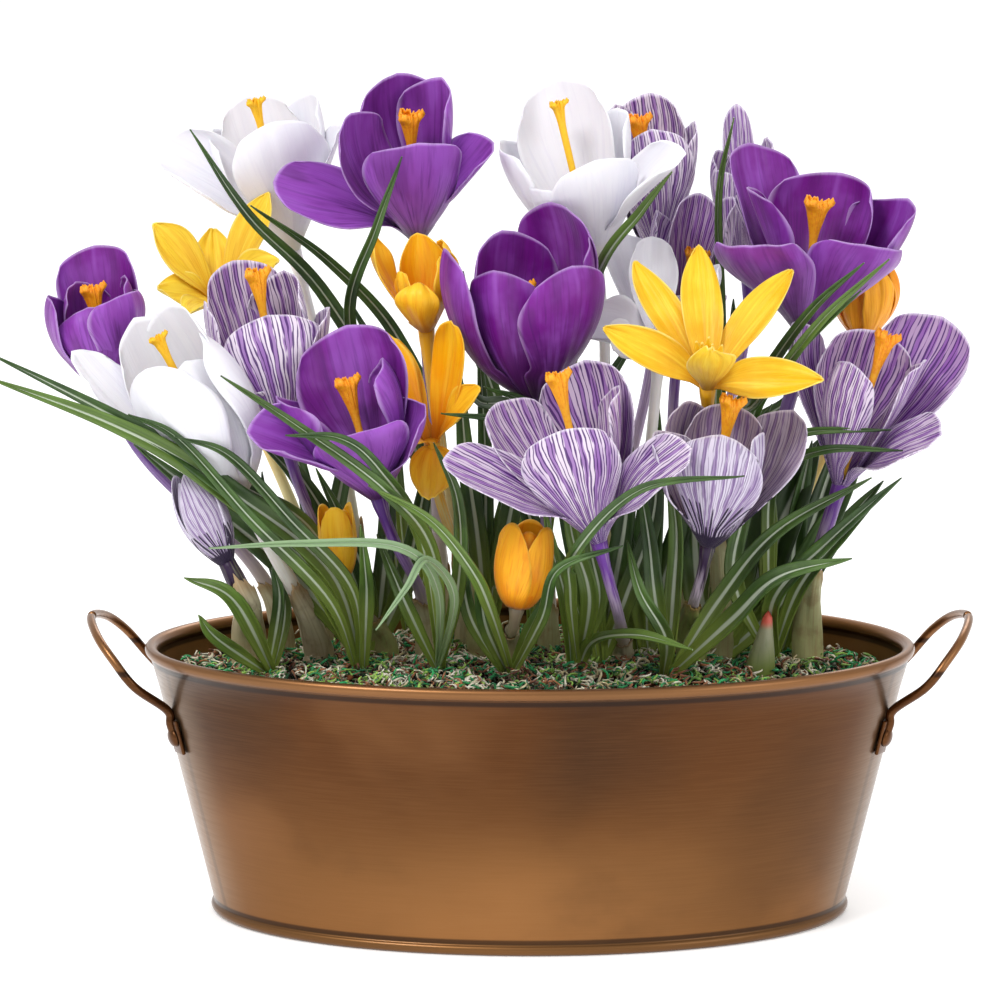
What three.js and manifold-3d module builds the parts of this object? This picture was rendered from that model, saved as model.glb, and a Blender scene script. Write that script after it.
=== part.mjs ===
// A spring planting of crocuses in an oval metal tub with two wire handles.
// Units are millimetres and +Z is up. The origin is the middle of the tub's underside.
import * as THREE from 'three';
import { mergeVertices } from 'three/addons/utils/BufferGeometryUtils.js';
import Module from 'manifold-3d';

const wasm = await Module();
wasm.setup();

// ---- Driving dimensions -------------------------------------------------

const GAP = 0.3; // clearance between neighbouring pieces

const TUB = {
  length: 240, // over the rim
  depth: 140,
  height: 85,
  baseScale: 0.83, // the base outline against the rim outline
  sheet: 1.0,
  rimBead: 4.0, // rolled rim, diameter
  baseBead: 3.3, // base seam, diameter
  floorThickness: 1.0,
  sides: 36,
};

const HANDLE = {
  wire: 2.8,
  sides: 6,
  footHeight: 59, // height of the rivets
  footSpread: 17, // half the distance between the two feet
  plate: { width: 7, height: 11, thickness: 1.2 },
  legStart: 4.2, // the wire leaves the plate here, above the rivet
  legTop: 9, // and is straight up to here
  steps: 20, // along the whole wire
  // the loop from the front foot to its outermost point, as [outward, sideways, height]
  loop: [[121, 25, 76], [127.5, 23.5, 84], [133, 16, 90], [136.2, 0, 93]],
};

const RIVET = {
  headRadius: 3,
  headHeight: 1.6,
  shankRadius: 1.3,
  tailRadius: 2.1,
  tailHeight: 0.8,
  tailGap: 0.8, // between the tail and the inside of the wall, whose facets bulge inward
  sides: 6,
  // lengths of the drills for the hole in the wall, in the plate and the pocket in the soil
  wallDrill: 6,
  plateDrill: 8,
  pocketDrill: 6.6,
};

const SOIL = {
  edgeHeight: 73,
  mound: 3.5,
  relief: 0.8, // height of the lumps
  rings: 2,
  sides: 24,
  wallGap: 1.5, // from the middle of the sheet
  pitBottom: 66, // of the holes that the stems stand in
};

const STEM = {
  sides: 5,
  radii: [2.8, 1.7], // at the foot and above
  straightTop: 79,
  pull: 0.36, // length of the bend's handles against its span
  thinBy: 0.45, // share of the bend by which the stem has its upper radius
  collar: { below: 3, widening: 1.25, above: 1, radius: 3 }, // where the petals join
  clearance: 0.6,
  steps: 3,
};

const PETAL = {
  claw: 1.7, // distance of a petal's root from the axis
  sink: 1.5, // depth of the root in the collar
  clawShare: 0.08,
  rib: 1.3, // thickness at the midrib
  swell: 0.9, // how far the midrib's handles move for each millimetre of belly
  layerStep: 2.8, // an outer petal stands this much further out
  low: { reach: 0.25, rise: 0.35, tilt: 0.1 }, // the midrib's handles as shares
  high: 0.75,
  rolledBy: 0.5, // share of its length by which a rolled petal has turned
  rows: [0, 0.3, 0.65, 0.92, 1],
};

// The spindle inside a bud, as [share of its height, share of its radius]
const CORE = { foot: 1.5, rings: [[0, 0.3], [0.3, 0.95], [0.6, 1], [0.85, 0.6]] };

const STYLE = {
  base: 1.6, // height of its foot above the throat
  stalkRadius: 0.8,
  widening: 1.2,
  headShare: 0.3,
  sides: 6,
  lobe: 4.2,
  notch: 1.5,
  dip: 2.5,
};

const LEAF = {
  keel: 1.1,
  extraSteps: 2,
  rootHeight: 75,
  rootSpread: 1.2, // the roots stand round the sheath's middle
  footShare: 0.35, // width at the root against the greatest
  widenRate: 2,
  tipPower: 3,
  sheathRadius: 3.3,
  sheathTop: 86,
  sheathTaper: 0.6,
  facing: [0, -1, 0.5], // the upper faces turn this way
};

// Each kind: petal colour, how far a petal cups round (radians) and where its outline peaks.
const KINDS = {
  purple: { color: 0x5c2390, cup: 0.75, shoulder: 1.1, tip: 0.42 },
  white: { color: 0xf3f3f8, cup: 0.75, shoulder: 1.1, tip: 0.42 },
  striped: { color: 0xcdbfe0, cup: 0.7, shoulder: 1.1, tip: 0.42 },
  yellow: { color: 0xf6b70c, cup: 0.45, shoulder: 1.1, tip: 0.75 },
};

// Blooms. foot is where the stem stands, [x, y]; throat is where the petals open; lean is the
// flower's axis; style is its length, where it shows; stem is [foot radius, upper radius]; core is the
// furled inside of a bud, as [radius, height].
// petals hold [azimuth in degrees, reach from the axis, rise along it, belly, width, roll in degrees]
const BLOOMS = [
  {
    name: 'purple_far_left', kind: 'purple', foot: [-78, 24], throat: [-129, 2, 164],
    lean: [-0.19, 0.06, 0.98], style: 34,
    petals: [[15, 12, 34, 3, 16], [80, 14, 44, 4, 23], [140, 8, 35, 3, 18], [195, 15, 33, 7, 20, -25],
      [268, 16, 28, 6, 20], [335, 22, 27, 5, 23, 35]],
  },
  {
    name: 'purple_top', kind: 'purple', foot: [-28, 34], throat: [-35, 28, 208],
    lean: [-0.06, -0.2, 0.98], style: 42,
    petals: [[105, 16, 50, 5, 25], [150, 18, 42, 3, 19], [196, 45, 24, -4, 18, -50], [278, 26, 39, 7, 27],
      [342, 27, 32, -3, 15, 40], [38, 14, 49, 4, 22]],
  },
  {
    name: 'purple_middle', kind: 'purple', foot: [6, 22], throat: [1, -8, 164],
    lean: [-0.12, 0, 0.99], style: 36,
    petals: [[45, 18, 57, 9, 30], [125, 6, 51, 9, 28], [188, 21, 48, 10, 26], [238, 14, 41, 9, 24],
      [305, 29, 41, 10, 28], [5, 22, 46, 11, 27]],
  },
  {
    name: 'purple_front_left', kind: 'purple', foot: [-32, 12], throat: [-46, -38, 138],
    lean: [-0.27, 0.06, 0.96], style: 38,
    petals: [[25, 14, 36, 3, 16], [75, 14, 51, 4, 31], [155, 14, 42, 3, 26], [205, 36, 29, -4, 20, -45],
      [268, 26, 22, 4, 26], [340, 24, 23, 4, 24, 35]],
  },
  {
    name: 'purple_top_right', kind: 'purple', foot: [62, 28], throat: [85, 17, 180],
    lean: [0.09, -0.05, 0.99], style: 43, stem: [4.2, 2.2],
    petals: [[5, 28, 44, 6, 27, 20], [62, 20, 48, 5, 31], [125, 38, 53, 5, 27], [185, 21, 44, 2, 18],
      [238, 45, 32, 3, 23, -12], [312, 29, 34, 4, 24, 30]],
  },
  {
    name: 'white_left', kind: 'white', foot: [-66, 10], throat: [-88, -29, 138],
    lean: [-0.47, 0.04, 0.88], style: 54, stem: [3.8, 2.6],
    petals: [[5, 12, 48, 10, 25], [50, 10, 60, 8, 26], [110, 10, 60, 8, 24], [180, 25, 61, 5, 20, -25],
      [245, 14, 46, 8, 26], [300, 8, 42, 8, 24]],
  },
  {
    name: 'white_top_left', kind: 'white', foot: [-54, 42], throat: [-75, 50, 202],
    lean: [-0.24, -0.09, 0.97], style: 50,
    petals: [[40, 22, 45, 3, 22], [105, 14, 49, 5, 24], [155, 19, 42, 3, 20], [188, 35, 41, -3, 22, -45],
      [284, 20, 44, 5, 28], [345, 26, 36, 3, 20, 20]],
  },
  {
    name: 'white_top', kind: 'white', foot: [16, 38], throat: [20, 27, 201],
    lean: [-0.23, -0.04, 0.97], style: 52,
    petals: [[38, 22, 43, 4, 24], [82, 14, 57, 5, 27], [168, 15, 45, 6, 26], [222, 20, 28, 4, 20, -20],
      [288, 22, 37, 6, 27], [328, 42, 29, -3, 18, 35]],
  },
  {
    name: 'white_middle', kind: 'white', foot: [34, 24], throat: [40, 10, 175],
    lean: [0.07, 0.06, 0.99],
    petals: [[10, 19, 28, 3, 18], [75, 8, 33, 3, 16], [120, 32, 34, 4, 16], [180, 24, 5, -2, 18, -40],
      [232, 24, 1, -2, 16, -40], [310, 17, 11, 0, 16]],
  },
  {
    name: 'striped_left', kind: 'striped', foot: [-56, 22], throat: [-75, -3, 149],
    lean: [-0.17, 0, 0.98], style: 55,
    petals: [[45, 12, 51, 4, 25], [118, 17, 56, 5, 25], [185, 17, 47, 5, 18], [228, 19, 18, -4, 15, -20],
      [278, 16, 42, 8, 30], [350, 21, 39, 4, 20, 15]],
  },
  {
    name: 'striped_front', kind: 'striped', foot: [29, 10], throat: [20, -52, 127],
    lean: [-0.25, 0.05, 0.97], style: 53,
    petals: [[60, 20, 52, 5, 29], [152, 23, 46, 3, 23, -20], [198, 41, 36, -5, 19, -50], [268, 20, 37, 6, 31],
      [334, 37, 22, -5, 18, 50], [15, 18, 43, 3, 17]],
  },
  {
    name: 'striped_front_right', kind: 'striped', foot: [50, 4], throat: [53, -46, 125],
    lean: [0.15, 0, 0.99], style: 46,
    petals: [[40, 25, 41, 6, 24], [85, 8, 41, 6, 22], [140, 15, 40, 6, 22], [188, 20, 32, 5, 20, -40],
      [259, 14, 35, 8, 27], [325, 11, 36, 8, 20, 20]],
  },
  {
    name: 'striped_right', kind: 'striped', foot: [87, 14], throat: [95, -12, 137],
    lean: [0.28, 0, 0.96], style: 50, stem: [3.4, 2.2],
    petals: [[48, 27, 56, 3, 28, 15], [98, 12, 47, 4, 27], [160, 30, 43, 3, 20, -15], [224, 14, 38, 5, 18],
      [318, 31, 25, -5, 21, 45], [355, 15, 44, 2, 14]],
  },
  {
    name: 'striped_top', kind: 'striped', foot: [24, 50], throat: [40, 59.5, 199],
    lean: [-0.13, -0.05, 0.99], style: 46,
    petals: [[10, 17, 40, 4, 20], [66, 14, 50, 4, 22], [140, 8, 48, 4, 20], [200, 9, 40, 3, 18],
      [285, 14, 42, 6, 22]],
  },
  {
    name: 'striped_back_right', kind: 'striped', foot: [46, 48], throat: [70, 56, 194],
    lean: [-0.08, 0, 0.99],
    petals: [[25, 9, 41, 3, 15], [88, 12, 52, 2, 12], [150, 9, 39, 3, 15], [215, 13, 33, 3, 15],
      [300, 12, 33, 3, 15]],
  },
  {
    name: 'striped_dark', kind: 'striped', foot: [48, 38], throat: [48, 42, 175],
    lean: [0.16, -0.07, 0.98], style: 29,
    petals: [[20, 9, 46, 3, 15], [100, 8, 45, 2, 14], [165, 15, 38, 3, 15], [235, 15, 28, 3, 15],
      [310, 11, 33, 2, 15]],
  },
  {
    name: 'striped_bud', kind: 'striped', foot: [-88, 8], throat: [-92, -34, 117],
    lean: [-0.43, 0, 0.9], stem: [4.2, 3],
    core: [3.6, 27], petals: [[30, 1, 30, 5, 15], [150, 1, 30, 5, 15], [270, 1, 31, 5, 15]],
  },
  {
    name: 'yellow_star_left', kind: 'yellow', foot: [-66, 36], throat: [-97, 28, 188],
    lean: [-0.05, -0.37, 0.93],
    petals: [[40, 24, 29, -2, 15], [95, 18, 24, -2, 14],
      [160, 19, 26, -2, 15, -20], [205, 21, 9, -3, 14, -30],
      [250, 22, 9, -3, 13], [345, 21, 16, -2, 14, 30]],
  },
  {
    name: 'yellow_cup', kind: 'yellow', foot: [-20, 26], throat: [-32, 4, 183],
    lean: [-0.05, -0.07, 0.99],
    petals: [[35, 9, 27, 3, 14], [100, 8, 28, 3, 15], [165, 17, 29, 3, 13], [213, 9, 19, 3, 12],
      [260, 10, 17, 6, 14], [345, 8, 23, 4, 13]],
  },
  {
    name: 'yellow_open', kind: 'yellow', foot: [-16, 14], throat: [-30, -16, 151],
    lean: [0.01, -0.26, 0.97],
    petals: [[110, 14, 31, 2, 15], [150, 22, 33, 2, 15], [212, 15, 10, -2, 14, -30], [268, 24, -10, -6, 16],
      [350, 15, 19, -4, 12, 30], [55, 9, 37, 3, 18]],
  },
  {
    name: 'yellow_star', kind: 'yellow', foot: [60, 14], throat: [53, -34, 171],
    lean: [-0.03, -0.6, 0.8], style: 19,
    petals: [[50, 42, 16, -2, 12], [92, 42, 18, -2, 13], [120, 42, 17, -2, 12], [160, 33, 14, -3, 12, -35],
      [270, 26, 28, -4, 14], [343, 36, 12, -4, 13, 35]],
  },
  {
    name: 'yellow_bud', kind: 'yellow', foot: [-6, 4], throat: [-4, -44, 106],
    lean: [0.14, 0, 0.99],
    core: [6.5, 23], petals: [[30, 1, 25, 8, 18], [150, 1, 24, 8, 18], [270, 1, 25, 8, 18]],
  },
  {
    name: 'yellow_small_bud', kind: 'yellow', foot: [-46, 12], throat: [-58, -14, 109],
    lean: [-0.08, 0, 0.99],
    core: [4, 20], petals: [[30, 1, 22, 5, 12], [150, 1, 22, 5, 12], [270, 1, 23, 5, 12]],
  },
  {
    name: 'yellow_back_right', kind: 'yellow', foot: [76, 38], throat: [105, 40, 175],
    lean: [0.06, 0, 0.99], stem: [4, 2],
    petals: [[10, 7, 24, 5, 14], [90, 6, 26, 5, 15], [170, 7, 24, 5, 14], [235, 8, 22, 5, 13],
      [300, 7, 23, 5, 13]],
  },
];

// Leaf tufts. foot is where the tuft stands; each leaf is [width, points on its way to the tip].
const TUFTS = [
  {
    name: 'leaves_far_left', foot: [-80, -6],
    leaves: [
      [5, [-90, -34, 105], [-104, -44, 114]],
      [4, [-95, -30, 92], [-100, -42, 102]],
      [4, [-77, -14, 100], [-79, -14, 112]],
      [4, [-76, -4, 96], [-81, 0, 117], [-83, 4, 138]],
    ],
  },
  {
    name: 'leaves_left', foot: [-52, -4],
    leaves: [
      [4.6, [-70, -24, 116], [-99, -40, 145], [-125, -46, 161], [-162, -50, 176]],
      [4.6, [-61, -26, 112], [-90, -38, 139], [-120, -42, 160], [-163, -44, 183]],
      [3.6, [-65, -6, 118], [-86, -16, 136], [-109, -22, 149], [-141, -26, 163]],
      [3.6, [-61, -26, 103], [-84, -40, 131], [-105, -44, 156], [-120, -46, 164]],
      [3.6, [-54, -26, 106], [-72, -38, 130], [-90, -44, 151], [-106, -50, 158]],
      [4, [-50, -26, 103], [-50, -36, 115], [-51, -44, 130]],
    ],
  },
  {
    name: 'leaves_mid_left', foot: [-28, -6],
    leaves: [
      [3.6, [-29, -42, 120], [-43, -64, 144], [-68, -70, 164], [-91, -68, 179]],
      [3.4, [-33, -40, 125], [-45, -66, 151], [-56, -72, 161], [-72, -72, 162]],
      [3.4, [-28, -44, 110], [-39, -64, 127], [-68, -68, 129], [-95, -70, 128]],
      [3.2, [-23, -42, 107], [-31, -58, 122], [-37, -66, 115], [-46, -68, 103]],
      [4, [-22, -30, 110], [-22, -38, 136], [-29, -44, 155]],
      [4, [-37, -18, 98], [-42, -18, 110], [-47, -16, 122]],
    ],
  },
  {
    name: 'leaves_front', foot: [-6, -14],
    leaves: [
      [3.6, [-12, -40, 103], [-18, -56, 119], [-30, -62, 135], [-48, -66, 146]],
      [4, [-13, -32, 95], [-15, -38, 106], [-16, -42, 114]],
      [4, [0, -26, 94], [5, -28, 104], [8, -28, 116]],
      [3.2, [3, -44, 101], [8, -62, 120], [27, -66, 128]],
      [4, [-18, -24, 97], [-21, -26, 116], [-23, -26, 134]],
    ],
  },
  {
    name: 'leaves_centre', foot: [14, -4],
    leaves: [
      [3.6, [12, -34, 106], [13, -62, 125], [32, -78, 147], [62, -78, 151]],
      [5, [18, -24, 103], [13, -24, 122], [10, -24, 140]],
      [5, [21, -6, 98], [19, -4, 114], [17, -2, 132]],
      [4, [11, -20, 101], [7, -22, 117], [4, -22, 132]],
      [4, [19, -16, 88], [32, -42, 96], [48, -58, 95]],
    ],
  },
  {
    name: 'leaves_mid_right', foot: [42, -12],
    leaves: [
      [5, [38, -24, 103], [36, -24, 122], [33, -20, 140]],
      [5, [44, -12, 101], [45, -8, 122], [42, -4, 143]],
      [4, [41, -34, 93], [33, -40, 109], [29, -36, 124]],
      [6, [62, -30, 92], [76, -50, 111], [95, -60, 122]],
      [5, [58, -14, 101], [75, -22, 124], [103, -30, 142]],
    ],
  },
  {
    name: 'leaves_right', foot: [76, 10],
    leaves: [
      [5, [75, -10, 100], [91, -22, 121], [112, -30, 142]],
      [3.6, [74, 2, 110], [75, -6, 137], [88, -28, 150], [112, -34, 151]],
      [3.6, [75, 6, 116], [74, 2, 139], [82, -16, 153], [109, -26, 156]],
      [4, [72, 14, 127], [69, 16, 149], [74, 10, 163], [85, 4, 170]],
      [4.5, [83, -6, 103], [96, -18, 123], [106, -26, 136]],
      [5, [63, -4, 105], [67, 2, 129], [70, 6, 154]],
    ],
  },
  {
    name: 'leaves_back_left', foot: [-38, 52],
    leaves: [
      [4.4, [-33, 40, 129], [-63, 33, 187], [-87, 16, 216], [-104, 5, 244]],
      [4, [-28, 44, 135], [-41, 38, 174], [-62, 27, 200], [-86, 10, 220]],
      [3.6, [-46, 40, 143], [-56, 12, 185], [-47, -6, 215], [-39, -8, 237]],
      [4, [-46, 36, 120], [-62, 32, 150], [-78, 32, 184]],
      [4, [-42, 54, 121], [-46, 58, 159], [-58, 60, 185]],
    ],
  },
  {
    name: 'leaves_back_middle', foot: [2, 52],
    leaves: [
      [4, [10, 44, 148], [21, 14, 198], [34, 2, 219], [43, -4, 232]],
      [4, [-9, 52, 146], [-19, 54, 175], [-21, 54, 194]],
      [4, [-3, 48, 144], [-16, 30, 156], [-25, 12, 167]],
      [4, [10, 40, 139], [25, 34, 162], [35, 30, 179]],
    ],
  },
  {
    name: 'leaves_back_right', foot: [64, 46],
    leaves: [
      [4, [59, 36, 149], [60, 30, 179], [58, 12, 222], [62, 0, 248]],
      [3.6, [60, 44, 147], [64, 38, 173], [64, 32, 188]],
      [3.6, [64, 20, 148], [72, -5, 170], [85, -21, 192], [100, -27, 207]],
      [3.6, [65, 16, 146], [74, -12, 168], [88, -27, 190], [107, -34, 209]],
      [3.6, [62, 12, 147], [69, -6, 161], [82, -22, 181], [99, -30, 199]],
      [4, [69, 50, 137], [83, 52, 153], [96, 50, 170]],
    ],
  },
];

const SHOOT = {
  foot: [71, -8],
  tip: [70, -8, 93],
  radius: 3.6,
  rings: [[0, 1], [0.45, 0.95], [0.8, 0.55]], // [share of its height, share of its radius]
};

// ---- Meshes into solids and back ----------------------------------------

const vec = ([x, y, z]) => new THREE.Vector3(x, y, z);

function geometryFrom(points, triangles) {
  const geometry = new THREE.BufferGeometry();
  const numbers = points.flatMap((p) => [p.x, p.y, p.z]);
  geometry.setAttribute('position', new THREE.Float32BufferAttribute(numbers, 3));
  geometry.setIndex(triangles);
  return geometry;
}

function signedVolume(position, triangles) {
  const corner = (i) => new THREE.Vector3().fromArray(position, 3 * i);
  let sum = 0;
  for (let i = 0; i < triangles.length; i += 3) {
    const [a, b, c] = [corner(triangles[i]), corner(triangles[i + 1]), corner(triangles[i + 2])];
    sum += a.dot(b.cross(c)) / 6;
  }
  return sum;
}

// A closed geometry as a solid: vertices welded, flat triangles dropped, faces turned outward.
function solid(geometry) {
  geometry.deleteAttribute('normal');
  geometry.deleteAttribute('uv');
  const welded = mergeVertices(geometry, 1e-4);
  const position = welded.attributes.position.array;
  const corners = welded.index.array;
  const kept = [];
  for (let i = 0; i < corners.length; i += 3) {
    const [a, b, c] = corners.slice(i, i + 3);
    if (a !== b && b !== c && c !== a) kept.push(a, b, c);
  }
  if (signedVolume(position, kept) < 0) kept.reverse();
  return new wasm.Manifold(new wasm.Mesh({
    numProp: 3, vertProperties: Float32Array.from(position), triVerts: Uint32Array.from(kept),
  }));
}

function toGeometry(manifold) {
  const mesh = manifold.getMesh();
  const geometry = new THREE.BufferGeometry();
  geometry.setAttribute('position', new THREE.BufferAttribute(Float32Array.from(mesh.vertProperties), 3));
  geometry.setIndex(new THREE.BufferAttribute(Uint32Array.from(mesh.triVerts), 1));
  return geometry;
}

const joined = (solids) => solids.reduce((whole, piece) => whole.add(piece));

// Solids grown together as one body: hollows that this seals are filled and loose scraps dropped.
function fused(solids) {
  const bodies = joined(solids).decompose();
  return bodies.reduce((largest, body) => (body.volume() > largest.volume() ? body : largest));
}

// A closed body through rings of points. A ring of one point is a tip; a wider end gets a flat cap.
function loft(rings) {
  const points = rings.flat();
  const starts = rings.map((ring, k) => rings.slice(0, k).reduce((sum, r) => sum + r.length, 0));
  const triangles = [];
  for (let k = 0; k + 1 < rings.length; k += 1) {
    const sides = Math.max(rings[k].length, rings[k + 1].length);
    for (let i = 0; i < sides; i += 1) {
      const j = (i + 1) % sides;
      const low = (n) => starts[k] + (rings[k].length > 1 ? n : 0);
      const high = (n) => starts[k + 1] + (rings[k + 1].length > 1 ? n : 0);
      triangles.push(low(i), low(j), high(j), low(i), high(j), high(i));
    }
  }
  const cap = (k, turned) => {
    for (let i = 1; i + 1 < rings[k].length; i += 1) {
      const [b, c] = turned ? [i + 1, i] : [i, i + 1];
      triangles.push(starts[k], starts[k] + b, starts[k] + c);
    }
  };
  cap(0, true);
  cap(rings.length - 1, false);
  return solid(geometryFrom(points, triangles));
}

const UP = new THREE.Vector3(0, 0, 1);

// A ring of points round a centre, square to the direction it faces.
function ringAround(centre, direction, radius, sides) {
  const turn = new THREE.Quaternion().setFromUnitVectors(UP, direction);
  return Array.from({ length: sides }, (_, i) => {
    const angle = (2 * Math.PI * i) / sides;
    return new THREE.Vector3(radius * Math.cos(angle), radius * Math.sin(angle), 0)
      .applyQuaternion(turn).add(centre);
  });
}

// ---- The tub ------------------------------------------------------------

// A point of the tub's oval at an angle and height, moved outward from the middle of the sheet.
function ovalPoint(angle, height, outward) {
  const scale = THREE.MathUtils.lerp(TUB.baseScale, 1, height / TUB.height);
  const a = (scale * TUB.length - TUB.rimBead) / 2;
  const b = (scale * TUB.depth - TUB.rimBead) / 2;
  const normal = new THREE.Vector2(Math.cos(angle) / a, Math.sin(angle) / b).normalize();
  return new THREE.Vector3(
    a * Math.cos(angle) + normal.x * outward, b * Math.sin(angle) + normal.y * outward, height,
  );
}

const angles = (count) => Array.from({ length: count }, (_, i) => (2 * Math.PI * i) / count);

// The wall's section as [outward, height], from inside the foot round the beads to the inside.
function wallSection() {
  const half = TUB.sheet / 2;
  const foot = TUB.baseBead / 2;
  const rim = TUB.rimBead / 2;
  const arc = (centreOut, centreHeight, radius, from, to, count) => Array.from({ length: count }, (_, i) => {
    const angle = THREE.MathUtils.degToRad(THREE.MathUtils.lerp(from, to, i / (count - 1)));
    return [centreOut + radius * Math.cos(angle), centreHeight + radius * Math.sin(angle)];
  });
  return [
    [-half, 0],
    ...arc(0.2, foot, foot, -90, 75, 4),
    ...arc(0, TUB.height - rim, rim, -65, 245, 7),
  ];
}

function wallSolid() {
  const section = wallSection();
  const points = angles(TUB.sides).flatMap(
    (angle) => section.map(([out, height]) => ovalPoint(angle, height, out)),
  );
  const triangles = [];
  for (let k = 0; k < TUB.sides; k += 1) {
    for (let i = 0; i < section.length; i += 1) {
      const j = (i + 1) % section.length;
      const here = k * section.length;
      const next = ((k + 1) % TUB.sides) * section.length;
      triangles.push(here + i, next + i, next + j, here + i, next + j, here + j);
    }
  }
  return solid(geometryFrom(points, triangles));
}

function floorSolid() {
  const inset = TUB.sheet / 2 + GAP;
  return loft([0, TUB.floorThickness].map(
    (height) => angles(TUB.sides).map((angle) => ovalPoint(angle, height, -inset)),
  ));
}

// ---- Handles and rivets -------------------------------------------------

// The outer skin of the wall where a handle's foot sits: the spot, outward, sideways and up.
function footFrame(end, side) {
  const height = HANDLE.footHeight;
  const b = ovalPoint(Math.PI / 2, height, 0).y;
  const angle = Math.asin((side * HANDLE.footSpread) / b);
  const at = (h) => {
    const p = ovalPoint(angle, h, TUB.sheet / 2);
    return new THREE.Vector3(end * p.x, p.y, p.z);
  };
  const spot = at(height);
  const up = at(height + 1).sub(at(height - 1)).normalize();
  const flat = ovalPoint(angle, height, 1).sub(ovalPoint(angle, height, 0));
  const outward = new THREE.Vector3(end * flat.x, flat.y, 0);
  outward.addScaledVector(up, -outward.dot(up)).normalize();
  return { spot, up, outward, along: new THREE.Vector3().crossVectors(up, outward) };
}

function placed(geometry, frame, outwardShift, upShift = 0) {
  const place = new THREE.Matrix4().makeBasis(frame.along, frame.up, frame.outward);
  place.setPosition(frame.spot.clone().addScaledVector(frame.outward, outwardShift)
    .addScaledVector(frame.up, upShift));
  return solid(geometry.applyMatrix4(place));
}

function rivetHole(frame, radius, depth) {
  const drill = new THREE.CylinderGeometry(radius, radius, depth, RIVET.sides).rotateX(Math.PI / 2);
  return placed(drill, frame, 0);
}

function rivetSolid(frame) {
  const plateTop = GAP + HANDLE.plate.thickness + GAP;
  const tailTop = -TUB.sheet - RIVET.tailGap;
  const profile = [
    [0, tailTop - RIVET.tailHeight], [RIVET.tailRadius, tailTop - RIVET.tailHeight],
    [RIVET.tailRadius, tailTop], [RIVET.shankRadius, tailTop], [RIVET.shankRadius, plateTop],
    [RIVET.headRadius, plateTop], [RIVET.headRadius * 0.72, plateTop + RIVET.headHeight * 0.75],
    [0, plateTop + RIVET.headHeight],
  ].map(([x, y]) => new THREE.Vector2(x, y));
  return placed(new THREE.LatheGeometry(profile, RIVET.sides).rotateX(Math.PI / 2), frame, 0);
}

function handleSolid(end, frames) {
  const [front, back] = frames;
  const lift = GAP + HANDLE.wire / 2;
  const { width, height, thickness } = HANDLE.plate;
  const legOf = (frame, upShift) => frame.spot.clone()
    .addScaledVector(frame.outward, lift).addScaledVector(frame.up, upShift);
  const loop = HANDLE.loop.map(([out, side, up]) => new THREE.Vector3(end * out, -side, up));
  const mirrored = loop.slice(0, -1).reverse().map((p) => new THREE.Vector3(p.x, -p.y, p.z));
  const path = new THREE.CatmullRomCurve3([
    legOf(front, HANDLE.legStart), legOf(front, HANDLE.legTop), ...loop,
    ...mirrored, legOf(back, HANDLE.legTop), legOf(back, HANDLE.legStart),
  ]);
  const section = new THREE.Shape(angles(HANDLE.sides).map((angle) => new THREE.Vector2(
    (HANDLE.wire / 2) * Math.cos(angle), (HANDLE.wire / 2) * Math.sin(angle),
  )));
  const wire = solid(new THREE.ExtrudeGeometry(
    section, { steps: HANDLE.steps, extrudePath: path, bevelEnabled: false },
  ));
  const plates = frames.map((frame) => placed(
    new THREE.BoxGeometry(width, height, thickness), frame, GAP + thickness / 2,
  ));
  const holes = frames.map((frame) => rivetHole(frame, RIVET.shankRadius + GAP, RIVET.plateDrill));
  return fused([wire, ...plates]).subtract(joined(holes));
}

// ---- Soil and the holes that stems stand in -----------------------------

function stemRadius(bloom) {
  return (bloom.stem ?? STEM.radii)[0];
}

function stemHoles() {
  const feet = [
    ...BLOOMS.map((bloom) => [bloom.foot, stemRadius(bloom)]),
    ...TUFTS.map((tuft) => [tuft.foot, LEAF.sheathRadius]),
    [SHOOT.foot, SHOOT.radius],
  ];
  return joined(feet.map(([[x, y], radius]) => loft([SOIL.pitBottom, TUB.height].map(
    (height) => ringAround(new THREE.Vector3(x, y, height), UP, radius + STEM.clearance, STEM.sides),
  ))));
}

// The soil rises from the wall to a low mound and is lumpy all over.
function soilHeight(x, y) {
  const edge = Math.min(1, Math.hypot(x / (TUB.length / 2), y / (TUB.depth / 2)));
  const lumps = Math.sin(0.31 * x + 0.4) * Math.cos(0.37 * y) + 0.6 * Math.sin(0.23 * x - 0.41 * y);
  return SOIL.edgeHeight + SOIL.mound * (1 - edge * edge) + SOIL.relief * lumps;
}

function soilSolid() {
  const outline = (height) => angles(SOIL.sides).map((angle) => ovalPoint(angle, height, -SOIL.wallGap));
  const rings = [outline(TUB.floorThickness + GAP)];
  for (let k = SOIL.rings; k >= 1; k -= 1) {
    rings.push(outline(SOIL.edgeHeight).map(({ x, y }) => {
      const share = k / SOIL.rings;
      return new THREE.Vector3(share * x, share * y, soilHeight(share * x, share * y));
    }));
  }
  rings.push([new THREE.Vector3(0, 0, soilHeight(0, 0))]);
  return loft(rings);
}

// ---- Blooms -------------------------------------------------------------

function bloomFrame(bloom) {
  const axis = vec(bloom.lean).normalize();
  const right = new THREE.Vector3(1, 0, 0).addScaledVector(axis, -axis.x).normalize();
  const away = new THREE.Vector3().crossVectors(axis, right);
  return new THREE.Matrix4().makeBasis(right, away, axis).setPosition(vec(bloom.throat));
}

// Half the width of a petal along its length, as a share of its greatest.
function outlineShare(u, { shoulder, tip }) {
  const peak = shoulder / (shoulder + tip);
  const at = (t) => t ** shoulder * (1 - t) ** tip;
  return Math.max(at(u) / at(peak), PETAL.clawShare * (1 - u));
}

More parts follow.
